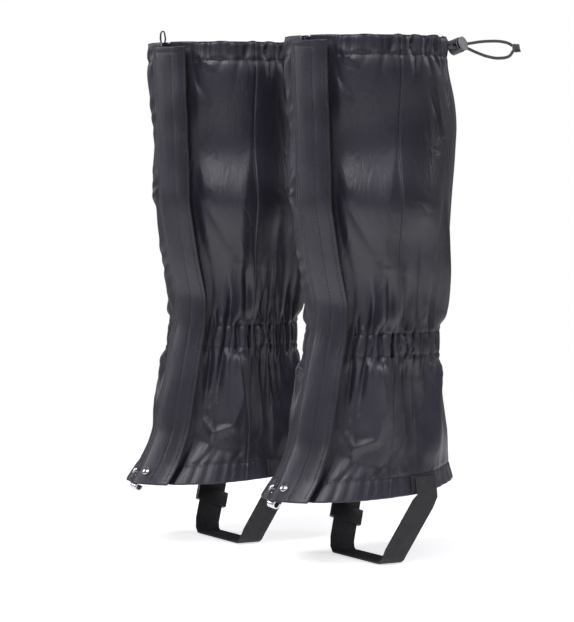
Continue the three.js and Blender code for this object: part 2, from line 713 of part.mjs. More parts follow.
// The spring, at the height it has with the button pressed in.
function lockSpring() {
  const wire = 0.6;
  const turns = 1.4;
  const radius = boreDiameter / 2 - wire / 2 - 2 * GAP;
  const rise = LOCK_SPRING_HEIGHT - wire;
  const points = Array.from({ length: 23 }, (_, i) => {
    const share = i / 22;
    const turn = share * turns * 2 * Math.PI;
    return new THREE.Vector3(radius * Math.cos(turn), radius * Math.sin(turn), springLow + wire / 2 + rise * share);
  });
  const section = new THREE.Shape().absarc(0, 0, wire / 2, 0, 2 * Math.PI);
  return new THREE.ExtrudeGeometry(section, {
    steps: 28,
    extrudePath: new THREE.CatmullRomCurve3(points),
    curveSegments: 2,
  });
}

// ---- Free strands and their knot -------------------------------------------------------------
// Each strand leaves the hem, runs straight through the lock, then swings round to the knot. The
// points after the lock are [sideways, away, up] from where the strands leave it.
const sideways = new THREE.Vector3(0.5, 0.866, 0);
const away = new THREE.Vector3(-0.866, 0.5, 0);
const strandStart = lockMiddle.clone().addScaledVector(lockAxes.cord, LOCK_DIAMETER + 1);
const knotMiddle = strandPoint([46, 10, -0.9]);
const UPPER_STRAND = [[5, 4, 3], [12, 7, 4.2], [20, 9, 4.9], [30, 10, 4.9], [38, 10, 3.4]];
const LOWER_STRAND = [[5, 4, -3.8], [11, 6.5, -6.2], [19, 9, -8.9], [29, 10, -10.6], [39, 10, -9.2]];

function strandPoint([right, back, up]) {
  return strandStart.clone()
    .addScaledVector(sideways, right)
    .addScaledVector(away, back)
    .add(new THREE.Vector3(0, 0, up));
}

function strand(side) {
  const straightRun = LOCK_STAND_OFF + LOCK_DIAMETER + 1;
  const straight = [0, 0.2, 0.4, 0.6, 0.8, 1].map((share) =>
    cordExit.clone().addScaledVector(lockAxes.cord, share * straightRun).add(strandOffset(side)),
  );
  const bends = (side > 0 ? UPPER_STRAND : LOWER_STRAND).map(strandPoint);
  const last = bends.at(-1);
  const inward = knotMiddle.clone().sub(last).normalize();
  const end = knotMiddle.clone().addScaledVector(inward, -KNOT_DIAMETER / 2 - GAP);
  const curve = new THREE.CatmullRomCurve3([...straight, ...bends, end], false, "centripetal");
  return cordAlong(curve, CORD_DIAMETER, 22);
}

function knot() {
  return new THREE.SphereGeometry(KNOT_DIAMETER / 2, 12, 8).translate(...knotMiddle.toArray());
}

// ---- Foot strap ------------------------------------------------------------------------------
const strapMiddle = GAP + TAPE + LAYER_GAP + STRAP_THICKNESS / 2; // out from the cloth, over the patch
const soleLevel = -LOWER_HEIGHT - STRAP_DROP;

// One side's places along the strap, from the sewn end to the flat stretch. side is 1 or -1.
function strapSide(side) {
  const angle = side > 0 ? STRAP_ANGLE : 2 * Math.PI - STRAP_ANGLE;
  const onHem = [STRAP_LAP, -3].map((height) => placeAt(angle, -LOWER_HEIGHT + height, strapMiddle));
  const outward = outwardAt(angle, -LOWER_HEIGHT);
  const round = new THREE.Vector3(-outward.y, outward.x, 0).multiplyScalar(side);
  const level = new THREE.Vector3(0, 1, 0);
  const low = new THREE.Vector3(side * (STRAP_SOLE_HALF + 7), STRAP_SOLE_Y + 2, soleLevel + 10);
  const high = onHem[1].clone().lerp(low, 0.14);
  return [
    { at: onHem[0], across: round },
    { at: onHem[1], across: round },
    { at: high, across: level },
    { at: low, across: level },
    { at: new THREE.Vector3(side * (STRAP_SOLE_HALF + 4.2), STRAP_SOLE_Y + 0.5, soleLevel + 3.4), across: level },
    { at: new THREE.Vector3(side * STRAP_SOLE_HALF, STRAP_SOLE_Y, soleLevel), across: level },
    { at: new THREE.Vector3(side * (STRAP_SOLE_HALF - 4), STRAP_SOLE_Y, soleLevel), across: level },
  ];
}

function strapStations() {
  const stations = [...strapSide(1), ...strapSide(-1).toReversed()];
  return stations.map(({ at, across }, i) => {
    const before = stations[Math.max(i - 1, 0)].at;
    const after = stations[Math.min(i + 1, stations.length - 1)].at;
    const step = after.clone().sub(at).normalize();
    const along = at.clone().sub(before).normalize().add(step).normalize();
    const wide = across.clone().addScaledVector(along, -across.dot(along)).normalize();
    return { at, along, wide, thick: new THREE.Vector3().crossVectors(along, wide) };
  });
}

function footStrap() {
  const outline = [[-1, -1], [1, -1], [1, 1], [-1, 1]].map(([x, y]) =>
    new THREE.Vector2((x * STRAP_WIDTH) / 2, (y * STRAP_THICKNESS) / 2),
  );
  const rings = strapStations().map(({ at, wide, thick }) =>
    outline.map(({ x, y }) => at.clone().addScaledVector(wide, x).addScaledVector(thick, y)),
  );
  return loft(rings, outline);
}

function strapPatch(side) {
  const angle = side > 0 ? STRAP_ANGLE : 2 * Math.PI - STRAP_ANGLE;
  const half = (STRAP_WIDTH / 2 + 3) / HEM_BACK;
  const columns = [-1, -0.33, 0.33, 1].map((share) => angle + share * half);
  const heights = [-LOWER_HEIGHT + 2, -LOWER_HEIGHT + STRAP_LAP + 2];
  return wrap(
    [
      [heights[0], GAP + TAPE],
      [heights[1], GAP + TAPE],
      [heights[1], GAP],
      [heights[0], GAP],
    ],
    columns,
  );
}

// The frame of the strap's straight run on the inner side: X across, Y along, Z through it.
function adjusterFrame() {
  const [, , high, low] = strapSide(-1);
  const along = low.at.clone().sub(high.at).normalize();
  const wide = high.across.clone().addScaledVector(along, -high.across.dot(along)).normalize();
  const middle = high.at.clone().lerp(low.at, 0.5);
  return { wide, along, thick: new THREE.Vector3().crossVectors(wide, along), middle };
}

// A plastic tri-glide: a frame with a slot for the strap and a bar across its outer side.
function strapAdjuster() {
  const halfWide = STRAP_WIDTH / 2 + LAYER_GAP;
  const halfThick = STRAP_THICKNESS / 2 + LAYER_GAP;
  const half = ADJUSTER_LENGTH / 2;
  const frame = box(
    [-halfWide - ADJUSTER_WALL, halfWide + ADJUSTER_WALL],
    [-half, half],
    [-halfThick - 1.2, halfThick + 1.2],
  );
  const slot = box([-halfWide, halfWide], [-half - 1, half + 1], [-halfThick, halfThick]);
  const windows = [-1, 1].map((side) =>
    box([-halfWide, halfWide], [side * half * 0.2, side * half * 0.7].sort((a, b) => a - b), [0, halfThick + 2]),
  );
  return cut(frame, slot, ...windows);
}

// ---- One gaiter ------------------------------------------------------------------------------
// pull is "down" for a pull that hangs along the teeth and "up" for one that stands on end.
function gaiter(side, pull) {
  const group = new THREE.Group();
  const name = (what) => `${side}_${what}`;
  const add = (what, geometry, finish) => {
    const mesh = piece(name(what), geometry, finish);
    group.add(mesh);
    return mesh;
  };

  for (const [what, geometry] of Object.entries(panels())) add(what, geometry, "shell_cloth");
  const { ankle_elastic, hem_elastic, ...cloth } = casings();
  for (const [what, geometry] of Object.entries(cloth)) add(what, geometry, "lining_cloth");
  add("ankle_elastic", ankle_elastic, "elastic");
  add("hem_elastic", hem_elastic, "elastic");
  add("drawcord", drawcordInHem(), "cord");

  add("zip_outer_half", zipHalf(1), "zip_tape");
  add("zip_inner_half", zipHalf(-1), "zip_tape");
  add("zip_bottom_box", zipBottomBox(), "zip_plastic");
  const zip = zipFrame();
  const slider = add("zip_slider", sliderShape(), "zip_metal");
  slider.applyMatrix4(frameOf(zip.round, zip.out, zip.along, zip.pin));
  const zipPull = add("zip_pull", pullShape(), "zip_metal");
  const pin = zip.pin.clone().addScaledVector(zip.out, pinHeight);
  if (pull === "down") {
    zipPull.applyMatrix4(frameOf(zip.round.clone().negate(), zip.out, zip.along.clone().negate(), pin));
  } else {
    zipPull.applyMatrix4(frameOf(zip.round, zip.out, zip.along, pin));
  }

  add("storm_flap", stormFlap(), "shell_cloth");
  add("flap_hook_tape", closureTape(FLAP_STAND - LAYER_GAP - TAPE, FLAP_STAND - LAYER_GAP), "closure_tape");
  add("flap_loop_tape", closureTape(LAYER_GAP, LAYER_GAP + TAPE), "closure_tape");
  add("lace_hook", laceHook(), "steel");
  add("hook_rivet_inner", rivet(-1), "steel");
  add("hook_rivet_outer", rivet(1), "steel");

  const lock = new THREE.Group();
  lock.applyMatrix4(frameOf(lockAxes.cord, lockAxes.across, lockAxes.axis, lockMiddle));
  lock.add(piece(name("cord_lock_body"), lockBody(), "lock_plastic"));
  lock.add(piece(name("cord_lock_button"), lockButton(), "lock_plastic"));
  lock.add(piece(name("cord_lock_spring"), lockSpring(), "steel"));
  group.add(lock);
  add("cord_upper_strand", strand(1), "cord");
  add("cord_lower_strand", strand(-1), "cord");
  add("cord_knot", knot(), "cord");

  add("foot_strap", footStrap(), "webbing");
  add("strap_patch_outer", strapPatch(1), "webbing");
  add("strap_patch_inner", strapPatch(-1), "webbing");
  const adjuster = add("strap_adjuster", strapAdjuster(), "lock_plastic");
  const strap = adjusterFrame();
  adjuster.applyMatrix4(frameOf(strap.wide, strap.along, strap.thick, strap.middle));

  // The joints: a place on each axis, and the direction of a positive move.
  const hingeTop = new THREE.Vector3(FLAP_SEAM_X, -TOP_FRONT - HINGE_AHEAD, UPPER_HEIGHT);
  const hingeLow = new THREE.Vector3(FLAP_SEAM_X, -HEM_FRONT - HINGE_AHEAD, -LOWER_HEIGHT);
  group.userData.joints = {
    storm_flap: { at: hingeLow, axis: hingeLow.clone().sub(hingeTop).normalize() },
    zip_slider: { at: zip.pin, axis: zip.along.clone().negate() },
    zip_pull: { at: pin, axis: pull === "down" ? zip.round : zip.round.clone().negate() },
    cord_lock: { at: lockMiddle, axis: lockAxes.cord },
    cord_lock_button: { at: lockMiddle, axis: lockAxes.axis.clone().negate() },
    strap_adjuster: { at: strap.middle, axis: strap.along },
  };
  return group;
}

const gaiters = new THREE.Group();
const left = gaiter("left", "down");
const right = gaiter("right", "up");
right.position.set(-PAIR_SPACING, -PAIR_LEAD, 0);
gaiters.add(left, right);

export default gaiters;
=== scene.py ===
"""A pair of hiking gaiters: thin coated cloth sleeves with a zip under a storm flap, elastic at
the ankle and hem, a drawcord and cord lock at the top, a lace hook at the toe and a foot strap."""
import json
import math

import bpy
import numpy as np
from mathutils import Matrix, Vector


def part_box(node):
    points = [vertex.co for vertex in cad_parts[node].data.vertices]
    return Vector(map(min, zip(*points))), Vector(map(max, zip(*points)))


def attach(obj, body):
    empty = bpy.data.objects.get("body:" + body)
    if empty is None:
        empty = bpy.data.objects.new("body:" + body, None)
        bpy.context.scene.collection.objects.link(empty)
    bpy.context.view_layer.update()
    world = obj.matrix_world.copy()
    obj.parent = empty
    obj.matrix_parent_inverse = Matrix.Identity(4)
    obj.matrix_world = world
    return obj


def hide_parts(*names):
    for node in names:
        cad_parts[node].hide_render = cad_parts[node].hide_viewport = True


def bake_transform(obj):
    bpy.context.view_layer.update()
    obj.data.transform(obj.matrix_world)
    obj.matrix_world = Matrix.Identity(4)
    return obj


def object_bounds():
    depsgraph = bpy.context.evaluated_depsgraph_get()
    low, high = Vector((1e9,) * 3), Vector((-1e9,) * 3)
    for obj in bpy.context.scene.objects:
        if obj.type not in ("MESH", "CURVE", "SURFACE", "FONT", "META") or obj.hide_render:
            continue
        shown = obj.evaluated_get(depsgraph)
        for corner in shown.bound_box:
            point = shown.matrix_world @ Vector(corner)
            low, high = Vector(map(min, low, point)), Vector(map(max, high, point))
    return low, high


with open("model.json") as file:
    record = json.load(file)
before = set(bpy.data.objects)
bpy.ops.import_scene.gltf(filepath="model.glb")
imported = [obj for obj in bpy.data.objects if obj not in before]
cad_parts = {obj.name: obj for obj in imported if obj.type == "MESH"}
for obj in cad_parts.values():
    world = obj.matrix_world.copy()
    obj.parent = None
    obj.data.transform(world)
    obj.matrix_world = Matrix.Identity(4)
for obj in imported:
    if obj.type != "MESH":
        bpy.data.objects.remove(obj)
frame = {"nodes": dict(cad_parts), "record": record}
cad_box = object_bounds()
SIDES = ("left", "right")
MM = 0.001  # sizes below are in millimetres, and meshes are in metres


# ---- Camera ----------------------------------------------------------------------------------
# A long lens stands 2.3 m off to the outer side and ahead of the toes, at the height of the upper
# sleeves, so that both gaiters are seen nearly without perspective, the near one before the other.
def aim(thing, target):
    """Points a camera or lamp at a place."""
    direction = Vector(target) - thing.location
    thing.rotation_euler = direction.to_track_quat("-Z", "Y").to_euler()


camera_data = bpy.data.cameras.new("camera")
camera_data.sensor_fit = "HORIZONTAL"
camera_data.sensor_width = 36
camera_data.lens = 157
camera = bpy.data.objects.new("camera", camera_data)
bpy.context.collection.objects.link(camera)
camera.location = (1.952, -1.218, 0.160)
aim(camera, (-0.0395, -0.0683, 0.028))
bpy.context.scene.camera = camera

# Each gaiter is cut alike, so everything below is made in the left one's place, in mm, and moved.
left_corner = Vector(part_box("left_back_panel")[0])
PLACE = {side: np.array(Vector(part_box(f"{side}_back_panel")[0]) - left_corner) / MM
         for side in SIDES}


# ---- Drawcord strands, their knot and the cord lock ------------------------------------------
# Braided polyester cord leaves the top hem by two holes at the back, runs through a spring cord
# lock moulded in nylon and ends in a knot. The braid is laid round a core, in a diamond pattern.
def srgb(code):
    """A colour such as '#3a3942' as linear red, green, blue and alpha."""
    channels = [int(code[i:i + 2], 16) / 255 for i in (1, 3, 5)]
    return [c / 12.92 if c <= 0.04045 else ((c + 0.055) / 1.055) ** 2.4 for c in channels] + [1]


def add_node(tree, kind, **given):
    """Adds a node. Each name given is a setting or an input (in2 is the third). Each value is
    plain, or is a socket or a node to link, where a node means its first output."""
    node = tree.nodes.new("ShaderNode" + kind)
    for name, value in given.items():
        if isinstance(value, bpy.types.Node):
            value = value.outputs[0]
        if hasattr(node, name):
            setattr(node, name, value)
            continue
        numbered = name.startswith("in") and name[2:].isdigit()
        socket = node.inputs[int(name[2:]) if numbered else name.replace("_", " ")]
        if isinstance(value, bpy.types.NodeSocket):
            tree.links.new(value, socket)
        else:
            socket.default_value = value
    return node


def new_material(name):
    """A material with no nodes yet, and its node tree."""
    material = bpy.data.materials.new(name)
    material.use_nodes = True
    material.node_tree.nodes.clear()
    return material, material.node_tree


BRAID_PITCH = 1.1
CLOUD_RANGE = {"From_Min": 0.3, "From_Max": 0.7}  # what a soft noise keeps to


def braided_cord():
    """Polyester braid: matt, with the strands' diamonds 1.1 mm apart and a little wear."""
    material, tree = new_material("braided_polyester_cord")
    uv = add_node(tree, "UVMap", uv_map="cloth")
    split = add_node(tree, "SeparateXYZ", Vector=uv)
    strands = []
    for slant in ("ADD", "SUBTRACT"):
        lean = add_node(tree, "Math", operation=slant, in0=split.outputs[0], in1=split.outputs[1])
        turn = add_node(tree, "Math", operation="MULTIPLY", in0=lean, in1=2 * math.pi / BRAID_PITCH)
        strands.append(add_node(tree, "Math", operation="SINE", in0=turn))
    raised = add_node(tree, "Math", operation="MAXIMUM", in0=strands[0], in1=strands[1])
    diamonds = add_node(tree, "MapRange", Value=raised, From_Min=-0.2)
    wear = add_node(tree, "TexNoise", Vector=uv, Scale=0.35, Detail=3.0)  # patches of 3 mm
    tint = add_node(tree, "Mix", data_type="RGBA", in0=wear, in6=srgb("#4a4a4d"),
                    in7=srgb("#646467"))
    colour = add_node(tree, "Mix", data_type="RGBA", in0=diamonds, in6=srgb("#363638"),
                      in7=tint.outputs[2])
    bump = add_node(tree, "Bump", Strength=0.7, Distance=0.25 * MM, Height=diamonds)
    shader = add_node(tree, "BsdfPrincipled", Base_Color=colour.outputs[2], Normal=bump,
                      Roughness=0.72)
    add_node(tree, "OutputMaterial", Surface=shader)
    return material


def moulded_nylon(name, low, high, roughness):
    """Injection-moulded nylon: a fine spark-eroded grain of 0.4 mm and dull, soft highlights."""
    material, tree = new_material(name)
    place = add_node(tree, "TexCoord").outputs["Object"]
    grain = add_node(tree, "TexNoise", Vector=place, Scale=1 / (0.4 * MM), Detail=2.0)
    clouds = add_node(tree, "TexNoise", Vector=place, Scale=1 / (6 * MM), Detail=3.0)
    colour = add_node(tree, "Mix", data_type="RGBA", in0=clouds, in6=srgb(low), in7=srgb(high))
    rough = add_node(tree, "MapRange", Value=clouds, **CLOUD_RANGE, To_Min=roughness - 0.06,
                     To_Max=roughness + 0.06)
    bump = add_node(tree, "Bump", Strength=0.25, Distance=0.08 * MM, Height=grain)
    shader = add_node(tree, "BsdfPrincipled", Base_Color=colour.outputs[2], Roughness=rough,
                      Normal=bump)
    add_node(tree, "OutputMaterial", Surface=shader)
    return material


def mesh_piece(name, points, faces, material, smooth=True, uv=None):
    """A mesh object in metres from points in metres. uv gives each point's cloth place in mm."""
    mesh = bpy.data.meshes.new(name)
    mesh.from_pydata([tuple(p) for p in points], [], [tuple(int(i) for i in f) for f in faces])
    mesh.validate()
    if smooth:
        mesh.shade_smooth()
    if uv is not None:
        layer = mesh.uv_layers.new(name="cloth")
        corner_points = np.empty(len(mesh.loops), dtype=np.int64)
        mesh.loops.foreach_get("vertex_index", corner_points)
        layer.data.foreach_set("uv", np.asarray(uv, dtype=np.float32)[corner_points].ravel())
    mesh.materials.append(material)
    thing = bpy.data.objects.new(name, mesh)
    bpy.context.collection.objects.link(thing)
    return thing


def tube(points, radius, sides=14):
    """Points, faces and cloth places (mm) of a closed round tube along points, in metres."""
    points = np.asarray(points, dtype=float)
    tangents = np.gradient(points, axis=0)
    tangents /= np.linalg.norm(tangents, axis=1, keepdims=True)
    side = np.cross(tangents[0], (0, 0, 1.0))
    if np.linalg.norm(side) < 1e-3:
        side = np.cross(tangents[0], (1.0, 0, 0))
    rings, uv, laid = [], [], 0.0
    for i, (point, tangent) in enumerate(zip(points, tangents)):
        side = side - tangent * side.dot(tangent)
        side /= np.linalg.norm(side)
        up = np.cross(tangent, side)
        if i:
            laid += np.linalg.norm(point - points[i - 1])
        for k in range(sides):
            turn = 2 * math.pi * k / sides
            rings.append(point + radius * (math.cos(turn) * side + math.sin(turn) * up))
            uv.append((turn * radius / MM, laid / MM))
    faces = []
    for first in range(0, (len(points) - 1) * sides, sides):
        for k in range(sides):
            a, b = first + k, first + (k + 1) % sides
            faces.append((a, b, b + sides, a + sides))
    faces.append(tuple(range(sides))[::-1])
    faces.append(tuple((len(points) - 1) * sides + k for k in range(sides)))
    return rings, faces, uv


def smooth_path(points, spacing):
    """Catmull-Rom points about spacing apart through the given ones."""
    points = [np.asarray(p, dtype=float) for p in points]
    padded = [2 * points[0] - points[1], *points, 2 * points[-1] - points[-2]]
    path = []
    for a, b, c, d in zip(padded, padded[1:], padded[2:], padded[3:]):
        steps = max(2, int(np.linalg.norm(c - b) / spacing))
        for t in np.arange(steps) / steps:
            path.append(0.5 * (2 * b + (c - a) * t + (2 * a - 5 * b + 4 * c - d) * t ** 2
                               + (3 * b - a - 3 * c + d) * t ** 3))
    path.append(points[-1])
    return np.array(path)


def shown_copy(node, material, bevel=0.0):
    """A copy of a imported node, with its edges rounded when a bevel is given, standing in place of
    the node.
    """
    source = frame["nodes"][node]
    thing = bpy.data.objects.new(node + "_finished", source.data.copy())
    bpy.context.collection.objects.link(thing)
    thing.data.materials.clear()
    thing.data.materials.append(material)
    thing.data.shade_smooth()
    weld = thing.modifiers.new("weld", "WELD")
    weld.merge_threshold = 1e-6
    if bevel:
        round_edges = thing.modifiers.new("round_edges", "BEVEL")
        round_edges.width = bevel
        round_edges.segments = 3
        round_edges.limit_method = "ANGLE"
        round_edges.angle_limit = math.radians(28)
    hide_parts(node)
    return thing


def body_of_node(node):
    """The name of the body that holds a node."""
    bodies = frame["record"]["behaviour"]["bodies"]
    return next(body for body, nodes in bodies.items() if node in nodes)


def place_on(side, thing, node):
    """Rides a piece on the body of a node."""
    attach(thing, body_of_node(f"{side}_{node}"))
    return thing


CORD_RADIUS = 1.4
LOCK_HEIGHT = 271
LOCK_TURN = math.radians(25)  # the cord leaves the hem this far round from straight back
LOCK_TILT = math.radians(18)
STRAIGHT_CORD = 36  # from the hem, through the lock, to where the strands part
STRAND_GAP = 4.4  # between the two strands' middles in the lock
KNOT_SIZE = 8.6
cord_way = np.array([-math.sin(LOCK_TURN), math.cos(LOCK_TURN), 0])
lock_axis = np.array([cord_way[1] * math.cos(LOCK_TILT), -cord_way[0] * math.cos(LOCK_TILT),
                      math.sin(LOCK_TILT)])
strand_way = np.cross(lock_axis, cord_way)
cord_exit = np.array([51.973, 45.6, LOCK_HEIGHT])
aside = np.array([0.5, 0.866, 0])
behind = np.array([-0.866, 0.5, 0])
strands_leave = cord_exit + cord_way * STRAIGHT_CORD
# Places of each free strand after the lock, as from_lock takes them.
UPPER_BEND = [(5, 4, 3), (12, 7, 4.2), (20, 9, 4.9), (30, 10, 4.9), (38, 10, 3.4)]
LOWER_BEND = [(5, 4, -3.8), (11, 6.5, -6.2), (19, 9, -8.9), (29, 10, -10.6), (39, 10, -9.2)]


def from_lock(right, back, up):
    """A place after the lock: sideways, away and up from where the strands leave it."""
    return strands_leave + aside * right + behind * back + np.array([0, 0, up])


knot_middle = from_lock(46, 10, -0.9)
cord_braid = braided_cord()
lock_nylon = moulded_nylon("moulded_nylon_grey", "#4b4c4f", "#5f6063", 0.5)
# The button's paler grey is painted light: it stands for the light on the plunger's end face.
button_nylon_painted_lit = moulded_nylon("moulded_nylon_pale_grey", "#6d6e71", "#808184", 0.55)


def strand_path(way, bends):
    """A free strand's middle line, from its hole to the knot, in mm."""
    start = cord_exit + strand_way * way * STRAND_GAP / 2
    straight = [start + cord_way * d for d in (0.5, 8, 16, 24, 30, STRAIGHT_CORD)]
    bent = [from_lock(*bend) for bend in bends]
    inward = (knot_middle - bent[-1]) / np.linalg.norm(knot_middle - bent[-1])
    return smooth_path([*straight, *bent, knot_middle - inward * (KNOT_SIZE / 2 - 0.8)], 1.2)


def knot_path():
    """An overhand knot's cord, drawn tight: a trefoil."""
    turns = np.linspace(0.15, 2 * math.pi - 0.15, 70)
    trefoil = np.stack([np.sin(turns) + 2 * np.sin(2 * turns),
                        np.cos(turns) - 2 * np.cos(2 * turns),
                        -1.9 * np.sin(3 * turns)], axis=1)
    return trefoil / 3 * (KNOT_SIZE / 2 - CORD_RADIUS)


KNOT_SWELL = 1.1  # the cord bulges where it is tied, and is cut thin at its ends
TAIL_SHRINK = 0.9
knot_axes = np.stack([behind, np.array([0, 0, 1.0]), aside], axis=0)
knot_turns = knot_middle + knot_path() @ knot_axes
tail_bend = smooth_path([knot_middle + aside * right - np.array([0, 0, down])
                         for right, down in ((1, 0), (2.6, 1.6), (3.4, 4))], 0.8)
for side in SIDES:
    origin = PLACE[side]
    points, faces, uv = tube((knot_turns + origin) * MM, CORD_RADIUS * KNOT_SWELL * MM, 12)
    knot = mesh_piece(f"{side}_cord_knot_tied", points, faces, cord_braid, uv=uv)
    points, faces, uv = tube((tail_bend + origin) * MM, CORD_RADIUS * TAIL_SHRINK * MM, 12)
    tail = mesh_piece(f"{side}_cord_knot_tails", points, faces, cord_braid, uv=uv)
    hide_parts(f"{side}_cord_knot")
    for thing in (knot, tail):
        place_on(side, thing, "cord_knot")
    for which, way, bends in (("upper", 1, UPPER_BEND), ("lower", -1, LOWER_BEND)):
        path = (strand_path(way, bends) + origin) * MM
        points, faces, uv = tube(path, CORD_RADIUS * MM)
        strand = mesh_piece(f"{side}_cord_{which}_strand_braided", points, faces, cord_braid, uv=uv)
        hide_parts(f"{side}_cord_{which}_strand")
        place_on(side, strand, f"cord_{which}_strand")
    for node, material, slot in (("cord_lock_body", lock_nylon, "lock_plastic"),
                                 ("cord_lock_button", button_nylon_painted_lit, "lock_plastic")):
        place_on(side, shown_copy(f"{side}_{node}", material, 0.4 * MM), node)


# ---- Floor, backdrop and light ---------------------------------------------------------------
# A pale painted floor, and soft square lamps on stands. They are only the studio: the white behind
# is what the lens sees of the backdrop, and the cloth is lit by a much dimmer one.
def painted_floor():
    """Matt white paint, which glows a little so that it runs into the backdrop."""
    material, tree = new_material("pale_floor")
    shader = add_node(tree, "BsdfPrincipled", Base_Color=srgb("#f6f6f6"), Roughness=0.9,
                      Emission_Color=(1, 1, 1, 1), Emission_Strength=0.66)
    add_node(tree, "OutputMaterial", Surface=shader)
    return material


floor_level = cad_box[0][2] - 1 * MM
FLOOR_HALF = 0.9  # metres
floor = mesh_piece("floor", [(x * FLOOR_HALF, y * FLOOR_HALF, floor_level)
                             for x, y in ((-1, -1), (1, -1), (1, 1), (-1, 1))],
                   [(0, 1, 2, 3)], painted_floor(), smooth=False)

world = bpy.data.worlds.new("studio")
bpy.context.scene.world = world
world.use_nodes = True
studio = world.node_tree
studio.nodes.clear()
seen = add_node(studio, "Background", Color=(1, 1, 1, 1), Strength=1.0)
lit = add_node(studio, "Background", Color=(0.95, 0.97, 1, 1), Strength=0.13)
rays = add_node(studio, "LightPath")
both = add_node(studio, "MixShader", in0=rays.outputs["Is Camera Ray"], in1=lit, in2=seen)
add_node(studio, "OutputWorld", in0=both)
bpy.context.scene.view_settings.view_transform = "Standard"

# name, place and target in metres, width in metres, watts
LAMPS = [
    ("key", (0.35, -1.1, 1.15), (0, 0, 0.22), 0.6, 17),
    ("front", (1.3, -0.35, 1.4), (0, 0, 0.2), 1.4, 12),
    ("side", (0.5, 1.6, 0.9), (0, 0, 0.15), 0.5, 9),
    ("rim", (-1.3, -1.2, 0.7), (-0.1, 0, 0.1), 0.6, 8),
]
for name, place, target, size, watts in LAMPS:
    data = bpy.data.lights.new(name, "AREA")
    data.shape = "SQUARE"
    data.size = size
    data.energy = watts
    data.color = (0.96, 0.94, 1)
    lamp = bpy.data.objects.new(name, data)
    bpy.context.collection.objects.link(lamp)
    lamp.location = place
    aim(lamp, target)


# ---- Sleeve: side, back and inner panels -----------------------------------------------------
# Three panels of thin polyester, coated inside, are sewn into a tapered sleeve. Elastic gathers it
# at the ankle and in the hem, a drawcord at the top, so it falls in folds that run from the ankle.
UPPER = 278  # heights from the middle of the ankle elastic, up and down
LOWER = 139
HEEL_RISE = 14  # the hem is cut this much higher at the heel
HEM = 18
BAND = 10  # half of the ankle band
ZIP_ANGLE = math.radians(12)
ZIP_EDGE = 6  # cloth edge to the zip's middle
SIDE_SEAM = math.radians(78)
INNER_SEAM = math.radians(282)
CLOTH = 0.6
# height, half width, front reach and back reach of the sleeve
CUT = np.array([
    (-139, 64, 110, 77), (-120.9, 61.5, 96, 74), (-90.4, 59, 82, 72), (-59.8, 57, 77, 67),
    (-34.8, 55.5, 71, 63), (-10, 54, 66, 62), (10, 53, 61, 61), (37.5, 58, 59, 67),
    (75.1, 66, 67.5, 71), (125.1, 73.5, 76.5, 73), (194.6, 73.5, 79.45, 76),
    (260, 73.5, 82.2, 67), (278, 73.5, 83, 63)])
fine_heights = np.arange(-170.0, 310.0, 1.0)
low_slope = (CUT[1, 1:] - CUT[0, 1:]) / (CUT[1, 0] - CUT[0, 0])
high_slope = (CUT[-1, 1:] - CUT[-2, 1:]) / (CUT[-1, 0] - CUT[-2, 0])
soften = np.exp(-0.5 * (np.arange(-20, 21) / 5.0) ** 2)
soften /= soften.sum()
fine_cut = []
for k in range(3):
    row = np.interp(fine_heights, CUT[:, 0], CUT[:, k + 1])
    row += np.minimum(fine_heights - CUT[0, 0], 0) * low_slope[k]
    row += np.maximum(fine_heights - CUT[-1, 0], 0) * high_slope[k]
    fine_cut.append(np.convolve(np.pad(row, 20, mode="edge"), soften, mode="valid"))


def sleeve_cut(height):
    """Half width, front reach and back reach at heights, with the corners rounded."""
    return [np.interp(height, fine_heights, row) for row in fine_cut]


def sleeve_place(angle, height, out=0.0):
    """Points on the sleeve in mm, at angles from the toe, moved outwards by out."""
    angle, height, out = np.broadcast_arrays(angle, height, out)
    half, front, back = sleeve_cut(height)
    reach = np.where(np.cos(angle) > 0, front, back)
    normal = np.stack([np.sin(angle) / half, -np.cos(angle) / reach], axis=-1)
    normal /= np.linalg.norm(normal, axis=-1, keepdims=True)
    rise = HEEL_RISE * np.maximum(0, -height / LOWER) ** 2 * ((1 - np.cos(angle)) / 2) ** 2
    x = half * np.sin(angle) + normal[..., 0] * out
    y = -reach * np.cos(angle) + normal[..., 1] * out
    return np.stack([x, y, height + rise], axis=-1)


def from_zip(distance, height):
    """The angle at a distance in mm round the cloth from the zip's middle."""
    half, front, _ = sleeve_cut(height)
    return ZIP_ANGLE + distance / np.hypot(half * math.cos(ZIP_ANGLE), front * math.sin(ZIP_ANGLE))


def smoothstep(low, high, value):
    """0 below low, 1 above high, smooth between."""
    share = np.clip((value - low) / (high - low), 0, 1)
    return share * share * (3 - 2 * share)


COLUMNS = 280
ROWS = 280
column_share = np.linspace(0, 1, COLUMNS)
row_heights = np.linspace(-LOWER, UPPER, ROWS)
heights = np.repeat(row_heights[:, None], COLUMNS, axis=1)
first_angles, last_angles = from_zip(ZIP_EDGE, heights), 2 * math.pi + from_zip(-ZIP_EDGE, heights)
angles = first_angles * (1 - column_share) + last_angles * column_share
half_width, front_reach, back_reach = sleeve_cut(heights)
round_speed = np.hypot(half_width * np.cos(angles),
                       np.where(np.cos(angles) > 0, front_reach, back_reach) * np.sin(angles))
round_steps = np.gradient(angles, axis=1) * round_speed
# How far round each point lies from the zip in mm, by the outside and by the inside of the leg.
outer = ZIP_EDGE + np.cumsum(round_steps, axis=1) - round_steps / 2
inner = ZIP_EDGE + np.cumsum(round_steps[:, ::-1], axis=1)[:, ::-1] - round_steps / 2
# The zip, the flap's seam and its tapes hold the cloth flat near them. So do the strap's patches.
free = smoothstep(25, 38, outer) * smoothstep(20, 30, inner)
for strap_angle in (103, 257):
    near_strap = np.exp(-(np.degrees(angles - math.radians(strap_angle)) / 15) ** 4)
    free = free * (1 - 0.9 * near_strap * smoothstep(-100, -118, heights))


